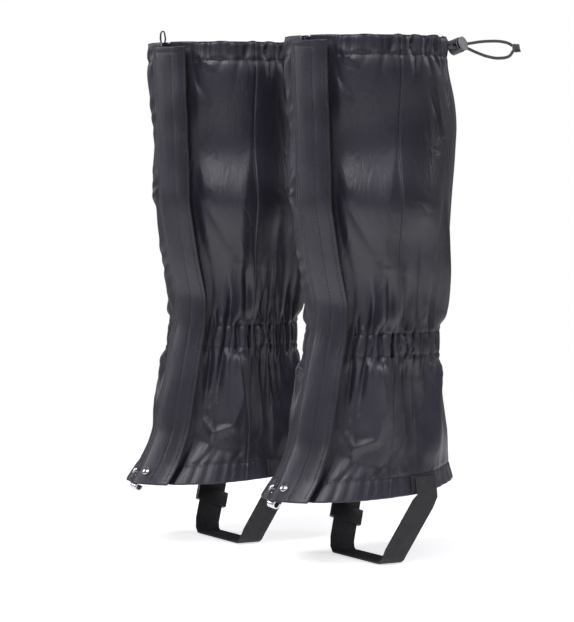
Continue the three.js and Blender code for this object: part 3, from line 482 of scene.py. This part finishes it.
def ridge_rows(rng, spacing):
    """Middles of ridges round the ankle in mm, about spacing apart."""
    round_ankle = outer[ROWS // 3].max()
    count = int(round_ankle / spacing)
    return (np.arange(count) + 0.5 + rng.uniform(-0.33, 0.33, count)) * round_ankle / count


def level_out(field, window):
    """Takes away a field's mean over a number of columns, so that folds don't widen the sleeve."""
    padded = np.pad(field, ((0, 0), (window, window)), mode="reflect")
    total = np.cumsum(padded, axis=1)
    return field - (total[:, 2 * window:] - total[:, :-2 * window]) / (2 * window)


PLEAT_SPACING = 7.9
PLEAT_DEPTH = 7


def ankle_folds(rng):
    """Gathers in the ankle band, and the folds they turn into above and below it."""
    across = np.repeat(outer[ROWS // 3][None, :], ROWS, axis=0)
    from_band = np.maximum(np.abs(heights) - BAND, 0)
    total = np.zeros_like(heights)
    for middle in ridge_rows(rng, PLEAT_SPACING):
        tall = rng.uniform(0.75, 1.2)
        fade = np.exp(-(from_band / 8) ** 2)
        width = 1.65 * rng.uniform(0.8, 1.25)
        bend = rng.uniform(0.5, 1.6) * np.sin(heights / rng.uniform(4, 8) + rng.uniform(0, 6))
        aside_of = (across - middle - bend * fade) / width
        total -= fade * PLEAT_DEPTH * tall * np.exp(-np.abs(aside_of) ** 1.3)
        for above in (1, -1):
            size = rng.uniform(0, 1) ** 1.8
            reach = 16 + (92 if above > 0 else 78) * size
            depth = 3.6 + 8.5 * size
            lean = rng.normal(0, 0.10) + 0.06 * size * rng.choice((-1, 1))
            grow = (1 - np.exp(-(from_band / 9) ** 2)) * np.exp(-(from_band / reach) ** 2)
            widen = 2.3 + from_band * (0.045 + 0.045 * size)
            place = middle + lean * from_band
            share = np.where(heights * above > 0, grow, 0)
            way = 1 if rng.uniform() < 0.35 else -0.95
            total += way * depth * share * np.exp(-np.abs((across - place) / widen) ** 1.35)
    total = level_out(total, 26)
    rows_pull = -0.8 * np.exp(-((np.abs(heights) - BAND) / 1.4) ** 2)
    return total + rows_pull + 0.5 * np.exp(-(heights / 6.5) ** 2)


def hem_folds(rng, edge, inward, spacing, depth, reach, strength=1.0):
    """Light gathers along a hem whose stitches are at edge, fading over reach mm into the panel."""
    across = np.repeat(outer[ROWS // 2][None, :], ROWS, axis=0)
    from_row = np.maximum((edge - heights) * inward, 0)
    total = np.zeros_like(heights)
    for middle in np.arange(spacing / 2, across.max(), spacing):
        middle = middle + rng.uniform(-0.4, 0.4) * spacing
        tall = depth * rng.uniform(0.5, 1.25)
        length = reach * rng.uniform(0.35, 1.4)
        width = spacing * 0.22 + from_row * 0.06
        fade = np.exp(-(from_row / length) ** 2)
        place = middle + rng.normal(0, 0.22) * from_row
        total -= tall * fade * np.exp(-np.abs((across - place) / width) ** 1.6)
    stitched = -0.8 * np.exp(-((heights - edge) / 1.5) ** 2)
    return level_out(total * strength, 30) + stitched


def crease(points, depth, width):
    """A fold along points of (mm round from the zip, height), deep by depth, fading at its ends."""
    total = np.zeros_like(heights)
    points = np.array(points, dtype=float)
    best = np.full_like(heights, 1e9)
    ends = np.zeros_like(heights)
    lengths = np.linalg.norm(np.diff(points, axis=0), axis=1)
    run = 0.0
    for a, b, length in zip(points, points[1:], lengths):
        way = b - a
        share = ((outer - a[0]) * way[0] + (heights - a[1]) * way[1]) / length ** 2
        share = np.clip(share, 0, 1)
        far = np.hypot(outer - a[0] - share * way[0], heights - a[1] - share * way[1])
        nearer = far < best
        along = (run + share * length) / lengths.sum()
        ends = np.where(nearer, np.sin(math.pi * np.clip(along, 0.06, 0.94)) ** 0.7, ends)
        best = np.minimum(best, far)
        run += length
    return depth * ends * np.exp(-(best / width) ** 1.5)


def broad_falls(rng):
    """Wide dents and swells of cloth that hangs free of the leg."""
    total = np.zeros_like(heights)
    for _ in range(7):
        length = rng.uniform(55, 120)
        turn = rng.uniform(-0.9, 0.9)
        phase = rng.uniform(0, 2 * math.pi)
        along = outer * math.sin(turn) + heights * math.cos(turn)
        total += 0.85 * np.sin(along * 2 * math.pi / length + phase)
    swell = 2.8 * np.cos((heights - 122 - 0.22 * (outer - 55)) * 2 * math.pi / 148)
    calf = smoothstep(60, 110, heights) * smoothstep(272, 235, heights)
    outside = smoothstep(24, 40, outer) * smoothstep(165, 110, outer)
    hanging = smoothstep(20, 70, np.abs(heights)) * smoothstep(278, 250, heights)
    return total * hanging * 0.8 + swell * calf * outside


MOST_FOLD = 13  # the cloth can't stand out or in further
# Each main crease: its points (mm round from the zip, height), depth outwards and half width.
CREASES = (
    (((27, 152), (44, 118), (60, 78)), -2.6, 5), (((86, 182), (78, 140), (66, 92)), 2.4, 6),
    (((30, 262), (35, 240), (46, 222)), -2.0, 3.5), (((34, 268), (52, 252)), 1.6, 4),
    (((66, 72), (64, 48), (60, 20)), -4.6, 4.5), (((80, 66), (76, 40), (74, 18)), 3.2, 5),
    (((32, -74), (50, -92), (68, -86), (73, -52)), 3.4, 4.2),
    (((44, -70), (52, -98), (49, -112)), 2.0, 3.4), (((34, -96), (62, -108), (92, -112)), -1.8, 6),
    (((104, -30), (112, -80), (120, -116)), -3.4, 5), (((128, 236), (142, 186)), 2.6, 5),
    (((118, 244), (136, 200)), -2.2, 4), (((150, 120), (140, 60), (132, 24)), 3.4, 8),
    (((112, 120), (106, 70), (104, 30)), -2.8, 6))


def draped_out(seed):
    """How far the cloth stands out from its cut, in mm, over the sleeve's grid."""
    rng = np.random.default_rng(seed)
    out = ankle_folds(rng)
    round_back = smoothstep(70, 150, outer) * smoothstep(60, 110, inner)
    out += hem_folds(rng, UPPER - HEM, 1, 10, 2.6, 30, 0.5 + 0.8 * round_back)
    above_row = smoothstep(UPPER - HEM - 2, UPPER - HEM + 5, heights)
    out += above_row * hem_folds(rng, UPPER, 1, 8.0, 2.6, 60, 0.55 + 0.8 * round_back)
    out += hem_folds(rng, -LOWER + HEM, -1, 8, 1.3, 18)
    out += broad_falls(np.random.default_rng(seed + 5))  # draws of its own
    for points, depth, width in CREASES:
        out += crease(points, depth, width)
    out *= free
    crumple = np.sin(heights / 7.3 + 2.6 * np.sin(heights / 23)) * np.sin(heights / 31 + 1)
    crumple = 3.2 + 0.9 * crumple
    crumple += 0.5 * np.sin(heights / 3.1 + 2 * np.sin(heights / 11) + inner / 3)
    out += crumple * np.exp(-((inner - 31) / 7) ** 2) * smoothstep(-20, 60, heights)
    out -= 1.6 * np.exp(-((outer - 30) / 4.5) ** 2)
    for seam in (SIDE_SEAM, INNER_SEAM):
        out -= 0.55 * np.exp(-((angles - seam) * round_speed / 1.1) ** 2)
    return MOST_FOLD * np.tanh(out / MOST_FOLD)


def grid_faces(rows, columns):
    """Faces of a grid of points, outward for rows that go up and columns that go round by +X."""
    return [(i * columns + j, i * columns + j + 1, (i + 1) * columns + j + 1, (i + 1) * columns + j)
            for i in range(rows - 1) for j in range(columns - 1)]


def sheet_piece(name, grid, material, thickness, uv):
    """A cloth piece from a grid of points in mm on its outer face, with its thickness inwards."""
    rows, columns = grid.shape[:2]
    thing = mesh_piece(name, grid.reshape(-1, 3) * MM, grid_faces(rows, columns), material,
                       uv=uv.reshape(-1, 2))
    body = thing.modifiers.new("cloth_body", "SOLIDIFY")
    body.thickness = thickness * MM
    body.offset = -1
    body.use_even_offset = False
    return thing


def grid_normals(grid):
    """Outward unit normals of a grid of points."""
    normal = np.cross(np.gradient(grid, axis=1), np.gradient(grid, axis=0))
    return normal / np.maximum(np.linalg.norm(normal, axis=-1, keepdims=True), 1e-9)


WEAVE_PITCH = 0.9  # real threads are 0.2 mm apart, too fine to show


def coated_polyester(name, creased=0.22):
    """Coated woven polyester: a plain weave at 0.9 mm so that it shows, a soft sheen from the
    calendered face, and small creases that never quite fall out."""
    material, tree = new_material(name)
    uv = add_node(tree, "UVMap", uv_map="cloth")
    split = add_node(tree, "SeparateXYZ", Vector=uv)
    threads = []
    for axis in (0, 1):
        turn = add_node(tree, "Math", operation="MULTIPLY", in0=split.outputs[axis],
                        in1=2 * math.pi / WEAVE_PITCH)
        threads.append(add_node(tree, "Math", operation="SINE", in0=turn))
    weave = add_node(tree, "Math", operation="MULTIPLY", in0=threads[0], in1=threads[1])
    long_way = add_node(tree, "Mapping", Vector=uv, Scale=(1, 0.4, 1))
    creases = add_node(tree, "TexNoise", Vector=long_way, Scale=1 / 16, Detail=4.0, Roughness=0.5,
                       Distortion=0.8)
    from_middle = add_node(tree, "Math", operation="SUBTRACT", in0=creases, in1=0.5)
    to_line = add_node(tree, "Math", operation="ABSOLUTE", in0=from_middle)
    pinched = add_node(tree, "MapRange", Value=to_line, From_Max=0.10)
    shade = add_node(tree, "TexNoise", Vector=uv, Scale=1 / 55, Detail=3.0)
    worn = add_node(tree, "MapRange", Value=shade, **CLOUD_RANGE)
    base = add_node(tree, "Mix", data_type="RGBA", in0=worn, in6=srgb("#131217"),
                    in7=srgb("#201e2a"))
    raised = add_node(tree, "MapRange", Value=weave, From_Min=-1, To_Max=0.2)
    colour = add_node(tree, "Mix", data_type="RGBA", in0=raised, in6=base.outputs[2],
                      in7=srgb("#38364a"))
    rough = add_node(tree, "MapRange", Value=shade, **CLOUD_RANGE, To_Min=0.33,
                     To_Max=0.43)
    crease_bump = add_node(tree, "Bump", Strength=creased, Distance=0.8 * MM, Height=pinched)
    bump = add_node(tree, "Bump", Strength=0.25, Distance=0.12 * MM, Height=weave,
                    Normal=crease_bump)
    shader = add_node(tree, "BsdfPrincipled", Base_Color=colour.outputs[2], Roughness=rough,
                      Normal=bump, Sheen_Weight=0.08, Sheen_Roughness=0.4, Specular_IOR_Level=0.55)
    add_node(tree, "OutputMaterial", Surface=shader)
    return material


def sewing_thread(name, code):
    """Twisted polyester thread, a little shiny, with its 0.5 mm twist drawn at 1.2 mm to show."""
    material, tree = new_material(name)
    place = add_node(tree, "TexCoord").outputs["Object"]
    twist = add_node(tree, "TexWave", Vector=place, Scale=1 / (1.2 * MM), Distortion=1.5).outputs[1]
    colour = add_node(tree, "Mix", data_type="RGBA", in0=twist, in6=srgb("#0c0c0e"), in7=srgb(code))
    bump = add_node(tree, "Bump", Strength=0.4, Distance=0.1 * MM, Height=twist)
    shader = add_node(tree, "BsdfPrincipled", Base_Color=colour.outputs[2], Roughness=0.5,
                      Normal=bump)
    add_node(tree, "OutputMaterial", Surface=shader)
    return material


STITCH = 2.5  # length of one stitch
STITCH_GAP = 0.9
STITCH_RADIUS = 0.44


def stitch_row(points, normals):
    """Points and faces in metres of a row of sunk, rounded stitches along a path on cloth in mm."""
    steps = np.linalg.norm(np.diff(points, axis=0), axis=1)
    along = np.concatenate([[0], np.cumsum(steps)])
    made, faces = [], []
    for start in np.arange(0.6, along[-1] - STITCH, STITCH + STITCH_GAP):
        ends = [np.array([np.interp(start + d, along, points[:, k]) for k in range(3)])
                for d in (0, STITCH)]
        up = np.array([np.interp(start + STITCH / 2, along, normals[:, k]) for k in range(3)])
        up /= np.linalg.norm(up)
        way = (ends[1] - ends[0]) / np.linalg.norm(ends[1] - ends[0])
        side = np.cross(way, up)
        first = len(made)
        for place, size, lift in ((ends[0], 0.45, -0.22), (ends[0] * 0.7 + ends[1] * 0.3, 1, 0.10),
                                  (ends[0] * 0.3 + ends[1] * 0.7, 1, 0.10), (ends[1], 0.45, -0.22)):
            for turn in np.arange(6) * math.pi / 3:
                round_thread = math.cos(turn) * side + math.sin(turn) * up
                made.append((place + up * lift + STITCH_RADIUS * size * round_thread) * MM)
        for ring in range(3):
            for k in range(6):
                a, b = first + ring * 6 + k, first + ring * 6 + (k + 1) % 6
                faces.append((a, b, b + 6, a + 6))
        faces.append(tuple(first + k for k in range(6))[::-1])
        faces.append(tuple(first + 18 + k for k in range(6)))
    return made, faces


def stitches(name, rows, material):
    """One piece of all the stitch rows given as (points, normals) in mm."""
    points, faces = [], []
    for path, normals in rows:
        made, joined = stitch_row(path, normals)
        faces += [tuple(i + len(points) for i in face) for face in joined]
        points += made
    return mesh_piece(name, points, faces, material)


def along_height(grid, height):
    """The sleeve grid's points at one height, as a row."""
    at = np.interp(height, row_heights, np.arange(ROWS))
    low = int(min(at, ROWS - 2))
    return grid[low] * (1 - (at - low)) + grid[low + 1] * (at - low)


shell_cloth = coated_polyester("coated_polyester_charcoal")
flap_cloth = coated_polyester("coated_polyester_doubled", creased=0.1)
black_thread = sewing_thread("sewing_thread_black", "#1c1c20")
drape_out = draped_out(11)
sleeve = sleeve_place(angles, heights, drape_out)
# The gathered top edge rises and dips a little.
edge_wave = 1.1 * np.sin(outer / 4.1 + 1.6 * np.sin(outer / 17))
edge_wave += 0.6 * np.sin(outer / 2.3 + np.sin(outer / 7))
edge_wave *= 0.35 + 0.65 * smoothstep(70, 130, outer) * smoothstep(60, 90, inner)
sleeve[..., 2] += (edge_wave - 0.4) * smoothstep(UPPER - 9, UPPER, heights) * free
sleeve_normals = grid_normals(sleeve)
wider = 1.04 + 0.3 * np.exp(-(heights / 45.0) ** 2)  # the flat cloth's fullness, most at the ankle
sleeve_uv = np.stack([outer * wider, heights], axis=-1)
mid_angles = angles[ROWS // 2]
side_end = int(np.searchsorted(mid_angles, SIDE_SEAM))
inner_start = int(np.searchsorted(mid_angles, INNER_SEAM))
PANELS = (("side_panel", 0, side_end), ("back_panel", side_end, inner_start),
          ("inner_panel", inner_start, COLUMNS - 1))

for side in SIDES:
    origin = PLACE[side]
    for panel, first, last in PANELS:
        cloth = sheet_piece(f"{side}_{panel}_cloth", sleeve[:, first:last + 1] + origin,
                            shell_cloth, CLOTH, sleeve_uv[:, first:last + 1])
        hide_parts(f"{side}_{panel}")
        place_on(side, cloth, panel)
    sewn = slice(int(COLUMNS * 0.02), int(COLUMNS * 0.985))
    rows = [(along_height(sleeve, height)[sewn] + origin,
             along_height(sleeve_normals, height)[sewn])
            for height in (-BAND + 0.4, BAND - 0.4, UPPER - HEM + 0.5, -LOWER + HEM - 0.5)]
    thread = stitches(f"{side}_sleeve_stitches", rows, black_thread)
    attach(thread, f"{side}_gaiter")


# ---- Hems, casings, elastics and the drawcord inside -----------------------------------------
# The hems are turned in and stitched, as channels. Woven elastic lies in the ankle casing (16 mm)
# and the hem (14 mm), and the drawcord in the top one. They follow the gathers of the cloth.
def lining(name, code):
    """The coated back of the cloth: smooth, darker and duller than the face, with a fine mottle."""
    material, tree = new_material(name)
    uv = add_node(tree, "UVMap", uv_map="cloth")
    mottle = add_node(tree, "TexNoise", Vector=uv, Scale=1 / 9, Detail=4.0)
    clouds = add_node(tree, "MapRange", Value=mottle, **CLOUD_RANGE)
    colour = add_node(tree, "Mix", data_type="RGBA", in0=clouds, in6=srgb("#17171a"),
                      in7=srgb(code))
    bump = add_node(tree, "Bump", Strength=0.2, Distance=0.3 * MM, Height=mottle)
    shader = add_node(tree, "BsdfPrincipled", Base_Color=colour.outputs[2], Roughness=0.55,
                      Normal=bump)
    add_node(tree, "OutputMaterial", Surface=shader)
    return material


def ribbed_textile(name, low, high, rib, roughness):
    """Narrow woven goods such as elastic or tape: ribs along their length every rib mm, matt."""
    material, tree = new_material(name)
    uv = add_node(tree, "UVMap", uv_map="cloth")
    split = add_node(tree, "SeparateXYZ", Vector=uv)
    waves = []
    for axis, pitch in ((1, rib), (0, rib * 0.7)):
        turn = add_node(tree, "Math", operation="MULTIPLY", in0=split.outputs[axis],
                        in1=2 * math.pi / pitch)
        waves.append(add_node(tree, "Math", operation="SINE", in0=turn))
    picks = add_node(tree, "Math", operation="MULTIPLY", in0=waves[1], in1=0.5)
    weave = add_node(tree, "Math", operation="ADD", in0=waves[0], in1=picks)
    worn = add_node(tree, "TexNoise", Vector=uv, Scale=0.12, Detail=4.0)  # patches of 8 mm
    raised = add_node(tree, "MapRange", Value=weave, From_Min=-1.2, From_Max=1.2)
    colour = add_node(tree, "Mix", data_type="RGBA", in0=raised, in6=srgb(low), in7=srgb(high))
    rough = add_node(tree, "MapRange", Value=worn, **CLOUD_RANGE,
                     To_Min=roughness - 0.07, To_Max=roughness + 0.07)
    bump = add_node(tree, "Bump", Strength=0.6, Distance=0.3 * MM, Height=weave)
    shader = add_node(tree, "BsdfPrincipled", Base_Color=colour.outputs[2], Roughness=rough,
                      Normal=bump)
    add_node(tree, "OutputMaterial", Surface=shader)
    return material


def inner_band(profile):
    """A strip inside the sleeve, as points and cloth places in mm. The profile's rows are height,
    distance out from the cut, and share of the folds that it follows."""
    grid, uv = [], []
    for height, out, share in profile:
        grid.append(sleeve_place(along_height(angles, height), height,
                                 along_height(drape_out, height) * share + out))
        uv.append(np.stack([along_height(outer, height), np.full(COLUMNS, float(height))], axis=-1))
    trim = slice(4, COLUMNS - 4)
    return np.array(grid)[:, trim], np.array(uv)[:, trim]


def channel_profile(low, high, depth):
    """A casing's section: sewn at both edges, and standing in from the cloth between them."""
    return [(low + (high - low) * t,
             -CLOTH - 0.5 - (depth - 0.5) * math.sin(math.pi * t) ** 0.45,
             1 - 0.38 * math.sin(math.pi * t) ** 0.6) for t in np.linspace(0.02, 0.98, 11)]


lining_cloth = lining("polyurethane_coated_lining", "#2b2b30")
woven_elastic = ribbed_textile("woven_elastic_black", "#121214", "#2c2c30", 1.3, 0.75)
ELASTIC_THICK = 1.0
BANDS = (
    ("top_hem", channel_profile(UPPER - HEM, UPPER - 0.3, 6.2), lining_cloth, "lining_cloth"),
    ("ankle_casing", channel_profile(-BAND, BAND, 5.4), lining_cloth, "lining_cloth"),
    ("bottom_hem", channel_profile(-LOWER + 0.3, -LOWER + HEM, 5.0), lining_cloth, "lining_cloth"),
    ("ankle_elastic", [(h, -3.5, 0.7) for h in np.linspace(-8, 8, 7)], woven_elastic, "elastic"),
    ("hem_elastic", [(h - LOWER + 9.3, -2.9, 0.7) for h in np.linspace(-7, 7, 7)], woven_elastic,
     "elastic"))
for side in SIDES:
    origin = PLACE[side]
    for node, profile, material, slot in BANDS:
        thickness = ELASTIC_THICK if slot == "elastic" else CLOTH
        grid, uv = inner_band(profile)
        band = sheet_piece(f"{side}_{node}_sewn", grid + origin, material, thickness, uv)
        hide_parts(f"{side}_{node}")
        place_on(side, band, node)
    place_on(side, shown_copy(f"{side}_drawcord", cord_braid), "drawcord")


# ---- Storm flap ------------------------------------------------------------------------------
# A strip of the same cloth, doubled and stitched, is sewn on beside the zip and closes over it.
# Near its sewn edge the cloth bends between the sleeve and the flap.
FLAP_SEAM_X = -5
FLAP_FREE = 27
FLAP_THICK = 1.2
flap_heights = np.linspace(-LOWER, UPPER - 4.5, 260)[:, None]
FLAP_COLUMNS = 30
flap_share = np.linspace(0, 1, FLAP_COLUMNS)[None, :]


def flap_places(share, height):
    """Angles, lifts and mm from the seam of the flap, at shares of its width from its sewn edge."""
    half = sleeve_cut(height)[0]
    start = np.arcsin(FLAP_SEAM_X / half)
    end = from_zip(FLAP_FREE, height)
    width = (end - start) * np.hypot(half * math.cos(0.1), 8)
    from_seam = share * width
    lift = 0.3 + 5.3 * smoothstep(1.5, 15, from_seam) + 2.2 * smoothstep(0.55, 1.0, share)
    edge = smoothstep(0.35, 1.0, share)
    wave = 0.55 * np.sin(height / 19 + 2.2 * share)
    wave = (wave + 0.4 * np.sin(height / 8.7 + 1.1 * np.sin(height / 31))) * edge
    wave = wave + 0.25 * np.sin(height / 4.9) * smoothstep(0.2, 0.0, share)
    above_hook = smoothstep(-108, -85, height)
    return start + (end - start) * share, lift + wave * above_hook, from_seam


flap_angle, flap_lift, flap_from_seam = flap_places(flap_share, flap_heights)
flap_grid = sleeve_place(flap_angle, flap_heights, flap_lift)
flap_top = sleeve_place(flap_angle, flap_heights, flap_lift + FLAP_THICK)
flap_normals = grid_normals(flap_top)
# Each stitch line presses a groove into the doubled cloth.
groove = np.zeros_like(flap_lift)
for inset in (3.6, 15.5):
    from_edge = flap_from_seam[:, -1:] - flap_from_seam
    groove += np.exp(-((from_edge - inset) / 0.9) ** 2)
groove += np.exp(-((flap_from_seam - 3.2) / 0.9) ** 2) + np.exp(-((flap_heights - 268) / 1.0) ** 2)
pressed_in = 0.35 * np.minimum(groove, 1)
flap_outer = sleeve_place(flap_angle, flap_heights, flap_lift + FLAP_THICK - pressed_in)
flap_uv = np.stack([flap_from_seam, flap_heights + 0 * flap_from_seam], axis=-1)


def doubled_sheet(name, top, bottom, uv, material):
    """A closed cloth piece between two grids of points in mm, joined round its rim and shaded
    smooth.
    """
    rows, columns = top.shape[:2]
    count = rows * columns
    points = np.concatenate([top.reshape(-1, 3), bottom.reshape(-1, 3)]) * MM
    faces = grid_faces(rows, columns)
    faces += [tuple(count + i for i in face[::-1]) for face in grid_faces(rows, columns)]
    rim = list(range(columns)) + [i * columns + columns - 1 for i in range(1, rows)]
    rim += [(rows - 1) * columns + j for j in range(columns - 2, -1, -1)]
    rim += [i * columns for i in range(rows - 2, 0, -1)]
    for a, b in zip(rim, rim[1:] + rim[:1]):
        faces.append((b, a, count + a, count + b))
    return mesh_piece(name, points, faces, material, uv=np.concatenate([uv.reshape(-1, 2)] * 2))


def flap_line(distance, low, high):
    """A path along the flap at a distance, from its sewn edge or (negative) from its free edge."""
    rows = (flap_heights[:, 0] >= low) & (flap_heights[:, 0] <= high)
    path, ups = [], []
    for i in np.nonzero(rows)[0]:
        width = flap_from_seam[i, -1]
        at = distance if distance > 0 else width + distance
        path.append([np.interp(at, flap_from_seam[i], flap_outer[i, :, k]) for k in range(3)])
        ups.append([np.interp(at, flap_from_seam[i], flap_normals[i, :, k]) for k in range(3)])
    return np.array(path), np.array(ups)


hook_tape = ribbed_textile("hook_tape_black", "#08080a", "#1e1e22", 0.8, 0.8)
TAPE_EDGES = (9.5, 24)  # mm from the zip's middle
TAPE_THICK = 1.0
cross_row = int(np.argmin(np.abs(flap_heights[:, 0] - 268)))
for side in SIDES:
    origin = PLACE[side]
    flap = doubled_sheet(f"{side}_storm_flap_cloth", flap_outer + origin, flap_grid + origin,
                         flap_uv, flap_cloth)
    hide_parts(f"{side}_storm_flap")
    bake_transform(flap)
    lines = [flap_line(3.2, -137, 272), flap_line(-3.6, -137, 272), flap_line(-15.5, -137, 266)]
    lines.append((flap_outer[cross_row, 2:-2], flap_normals[cross_row, 2:-2]))
    thread = stitches(f"{side}_flap_stitches", [(path + origin, ups) for path, ups in lines],
                      black_thread)
    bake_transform(thread)
    tape_heights = np.linspace(-LOWER + 16, UPPER - 25, 120)[:, None]
    start, end = (from_zip(distance, tape_heights) for distance in TAPE_EDGES)
    angle = start + (end - start) * np.linspace(0, 1, 12)[None, :]
    seam = np.arcsin(FLAP_SEAM_X / sleeve_cut(tape_heights)[0])
    share = (angle - seam) / (from_zip(FLAP_FREE, tape_heights) - seam)
    under_flap = flap_places(share, tape_heights)[1] - 0.15
    uv = np.stack([tape_heights + 0 * angle, (angle - start) * 60], axis=-1)
    for node, out in (("flap_hook_tape", under_flap), ("flap_loop_tape", 0.5 + TAPE_THICK)):
        grid = sleeve_place(angle, tape_heights, out)
        tape = sheet_piece(f"{side}_{node}_woven", grid + origin, hook_tape, TAPE_THICK, uv)
        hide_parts(f"{side}_{node}")
        place_on(side, tape, node)


# ---- Zip -------------------------------------------------------------------------------------
# Moulded teeth on woven tapes, sewn behind the cloth's edges. The slider and its wire pull are
# plated zinc and steel, and a moulded box ends the zip below.
def plated_metal(name, low, high, roughness):
    """Plated metal: bright, with faint clouds and hairline scratches from use."""
    material, tree = new_material(name)
    place = add_node(tree, "TexCoord").outputs["Object"]
    clouds = add_node(tree, "TexNoise", Vector=place, Scale=1 / (3 * MM), Detail=4.0)
    drawn_out = add_node(tree, "Mapping", Vector=place, Scale=(1, 1, 0.08))
    hairs = add_node(tree, "TexNoise", Scale=1 / (0.6 * MM), Detail=2.0, Vector=drawn_out)
    colour = add_node(tree, "Mix", data_type="RGBA", in0=clouds, in6=srgb(low), in7=srgb(high))
    rough = add_node(tree, "MapRange", Value=clouds, **CLOUD_RANGE,
                     To_Min=roughness - 0.06, To_Max=roughness + 0.08)
    bump = add_node(tree, "Bump", Strength=0.12, Distance=0.05 * MM, Height=hairs)
    shader = add_node(tree, "BsdfPrincipled", Base_Color=colour.outputs[2], Roughness=rough,
                      Metallic=1.0, Normal=bump)
    add_node(tree, "OutputMaterial", Surface=shader)
    return material


zip_tape_cloth = ribbed_textile("zip_tape_woven", "#141417", "#2a2a2f", 1.1, 0.7)
zip_nylon = moulded_nylon("moulded_zip_plastic_black", "#161618", "#242427", 0.42)
dark_zinc = plated_metal("gunmetal_wire", "#4a4b4e", "#6c6d70", 0.35)
steel = plated_metal("nickel_plated_steel", "#b4b5b8", "#dcdde0", 0.2)
TOOTH_PITCH = 2.6
# A tooth's corners as mm from the zip's middle and up it, and its faces, inner then outer ends.
TOOTH_CORNERS = ((0.35, -0.8), (2.7, -0.55), (2.7, 0.55), (0.35, 0.8))
TOOTH_FACES = ((0, 1, 2, 3), (7, 6, 5, 4), (0, 4, 5, 1), (1, 5, 6, 2), (2, 6, 7, 3), (3, 7, 4, 0))
zip_low, zip_high = -LOWER + 13.3, UPPER - 4
for side in SIDES:
    origin = PLACE[side]
    for node, way in (("zip_outer_half", 1), ("zip_inner_half", -1)):
        tape_heights = np.linspace(-LOWER + 1.5, UPPER - 1.2, 150)[:, None]
        distances = np.linspace(0.35, 13.2, 8)[None, :]
        angle = from_zip(way * distances, tape_heights)
        grid = sleeve_place(angle, tape_heights, -1.95 + 0 * angle)
        uv = np.stack([tape_heights + 0 * angle, distances + 0 * angle], axis=-1)
        if way < 0:
            grid, uv = grid[:, ::-1], uv[:, ::-1]
        tape = sheet_piece(f"{side}_{node}_tape", grid + origin, zip_tape_cloth, 0.8, uv)
        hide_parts(f"{side}_{node}")
        place_on(side, tape, node)
        points, faces = [], []
        for number, height in enumerate(np.arange(zip_low + 1, zip_high - 1, TOOTH_PITCH)):
            height = height + (0 if way > 0 else TOOTH_PITCH / 2)
            first = len(points)
            points += [sleeve_place(from_zip(way * d, height + h), height + h, out) + origin
                       for out in (-1.9, 0.55) for d, h in TOOTH_CORNERS]
            faces += [tuple(first + i for i in (face if way > 0 else face[::-1]))
                      for face in TOOTH_FACES]
        teeth = mesh_piece(f"{side}_{node}_teeth", np.array(points) * MM, faces, zip_nylon,
                           smooth=False)
        rounding = teeth.modifiers.new("round_edges", "BEVEL")
        rounding.width, rounding.segments = 0.25 * MM, 2
        place_on(side, teeth, node)
    for node, material, slot, bevel in (("zip_bottom_box", zip_nylon, "zip_plastic", 0.5),
                                        ("zip_slider", dark_zinc, "zip_metal", 0.4),
                                        ("zip_pull", dark_zinc, "zip_metal", 0.3),
                                        ("lace_hook", steel, "steel", 0.35),
                                        ("hook_rivet_inner", steel, "steel", 0.7),
                                        ("hook_rivet_outer", steel, "steel", 0.7)):
        place_on(side, shown_copy(f"{side}_{node}", material, bevel * MM), node)


# ---- Foot strap, its patches and adjuster ----------------------------------------------------
# Polyester webbing 25 mm wide is sewn to the hem over a patch on each side, passes under the arch
# of the boot and is set by a moulded tri-glide on the inner side.
def webbing_finish(name, low, high):
    """Heavy woven webbing: fine ribs along it and a scuffed, matt face."""
    material, tree = new_material(name)
    place = add_node(tree, "TexCoord").outputs["Object"]
    split = add_node(tree, "SeparateXYZ", Vector=place)
    run = add_node(tree, "Math", operation="ADD", in0=split.outputs[0], in1=split.outputs[2])
    waves = []
    for distance, pitch in ((split.outputs[1], 1.7 * MM), (run, 1.1 * MM)):
        turn = add_node(tree, "Math", operation="MULTIPLY", in0=distance, in1=2 * math.pi / pitch)
        waves.append(add_node(tree, "Math", operation="SINE", in0=turn))
    picks = add_node(tree, "Math", operation="MULTIPLY", in0=waves[1], in1=0.55)
    weave = add_node(tree, "Math", operation="ADD", in0=waves[0], in1=picks)
    scuffs = add_node(tree, "TexNoise", Vector=place, Scale=1 / (9 * MM), Detail=5.0)
    raised = add_node(tree, "MapRange", Value=weave, From_Min=-1.3, From_Max=1.3)
    colour = add_node(tree, "Mix", data_type="RGBA", in0=raised, in6=srgb(low), in7=srgb(high))
    rough = add_node(tree, "MapRange", Value=scuffs, **CLOUD_RANGE, To_Min=0.68,
                     To_Max=0.82)
    bump = add_node(tree, "Bump", Strength=0.7, Distance=0.4 * MM, Height=weave)
    shader = add_node(tree, "BsdfPrincipled", Base_Color=colour.outputs[2], Roughness=rough,
                      Normal=bump)
    add_node(tree, "OutputMaterial", Surface=shader)
    return material


webbing = webbing_finish("polyester_webbing_black", "#121214", "#2a2a2e")
patch_cloth = webbing_finish("patch_cloth_black", "#1b1b1e", "#2f2f34")
tri_glide = moulded_nylon("moulded_acetal_black", "#151517", "#222225", 0.38)
for side in SIDES:
    for node, material, slot, bevel in (("foot_strap", webbing, "webbing", 0.4),
                                        ("strap_patch_outer", patch_cloth, "webbing", 0.2),
                                        ("strap_patch_inner", patch_cloth, "webbing", 0.2),
                                        ("strap_adjuster", tri_glide, "zip_plastic", 0.5),
                                        ("cord_lock_spring", steel, "steel", 0.0)):
        place_on(side, shown_copy(f"{side}_{node}", material, bevel * MM), node)
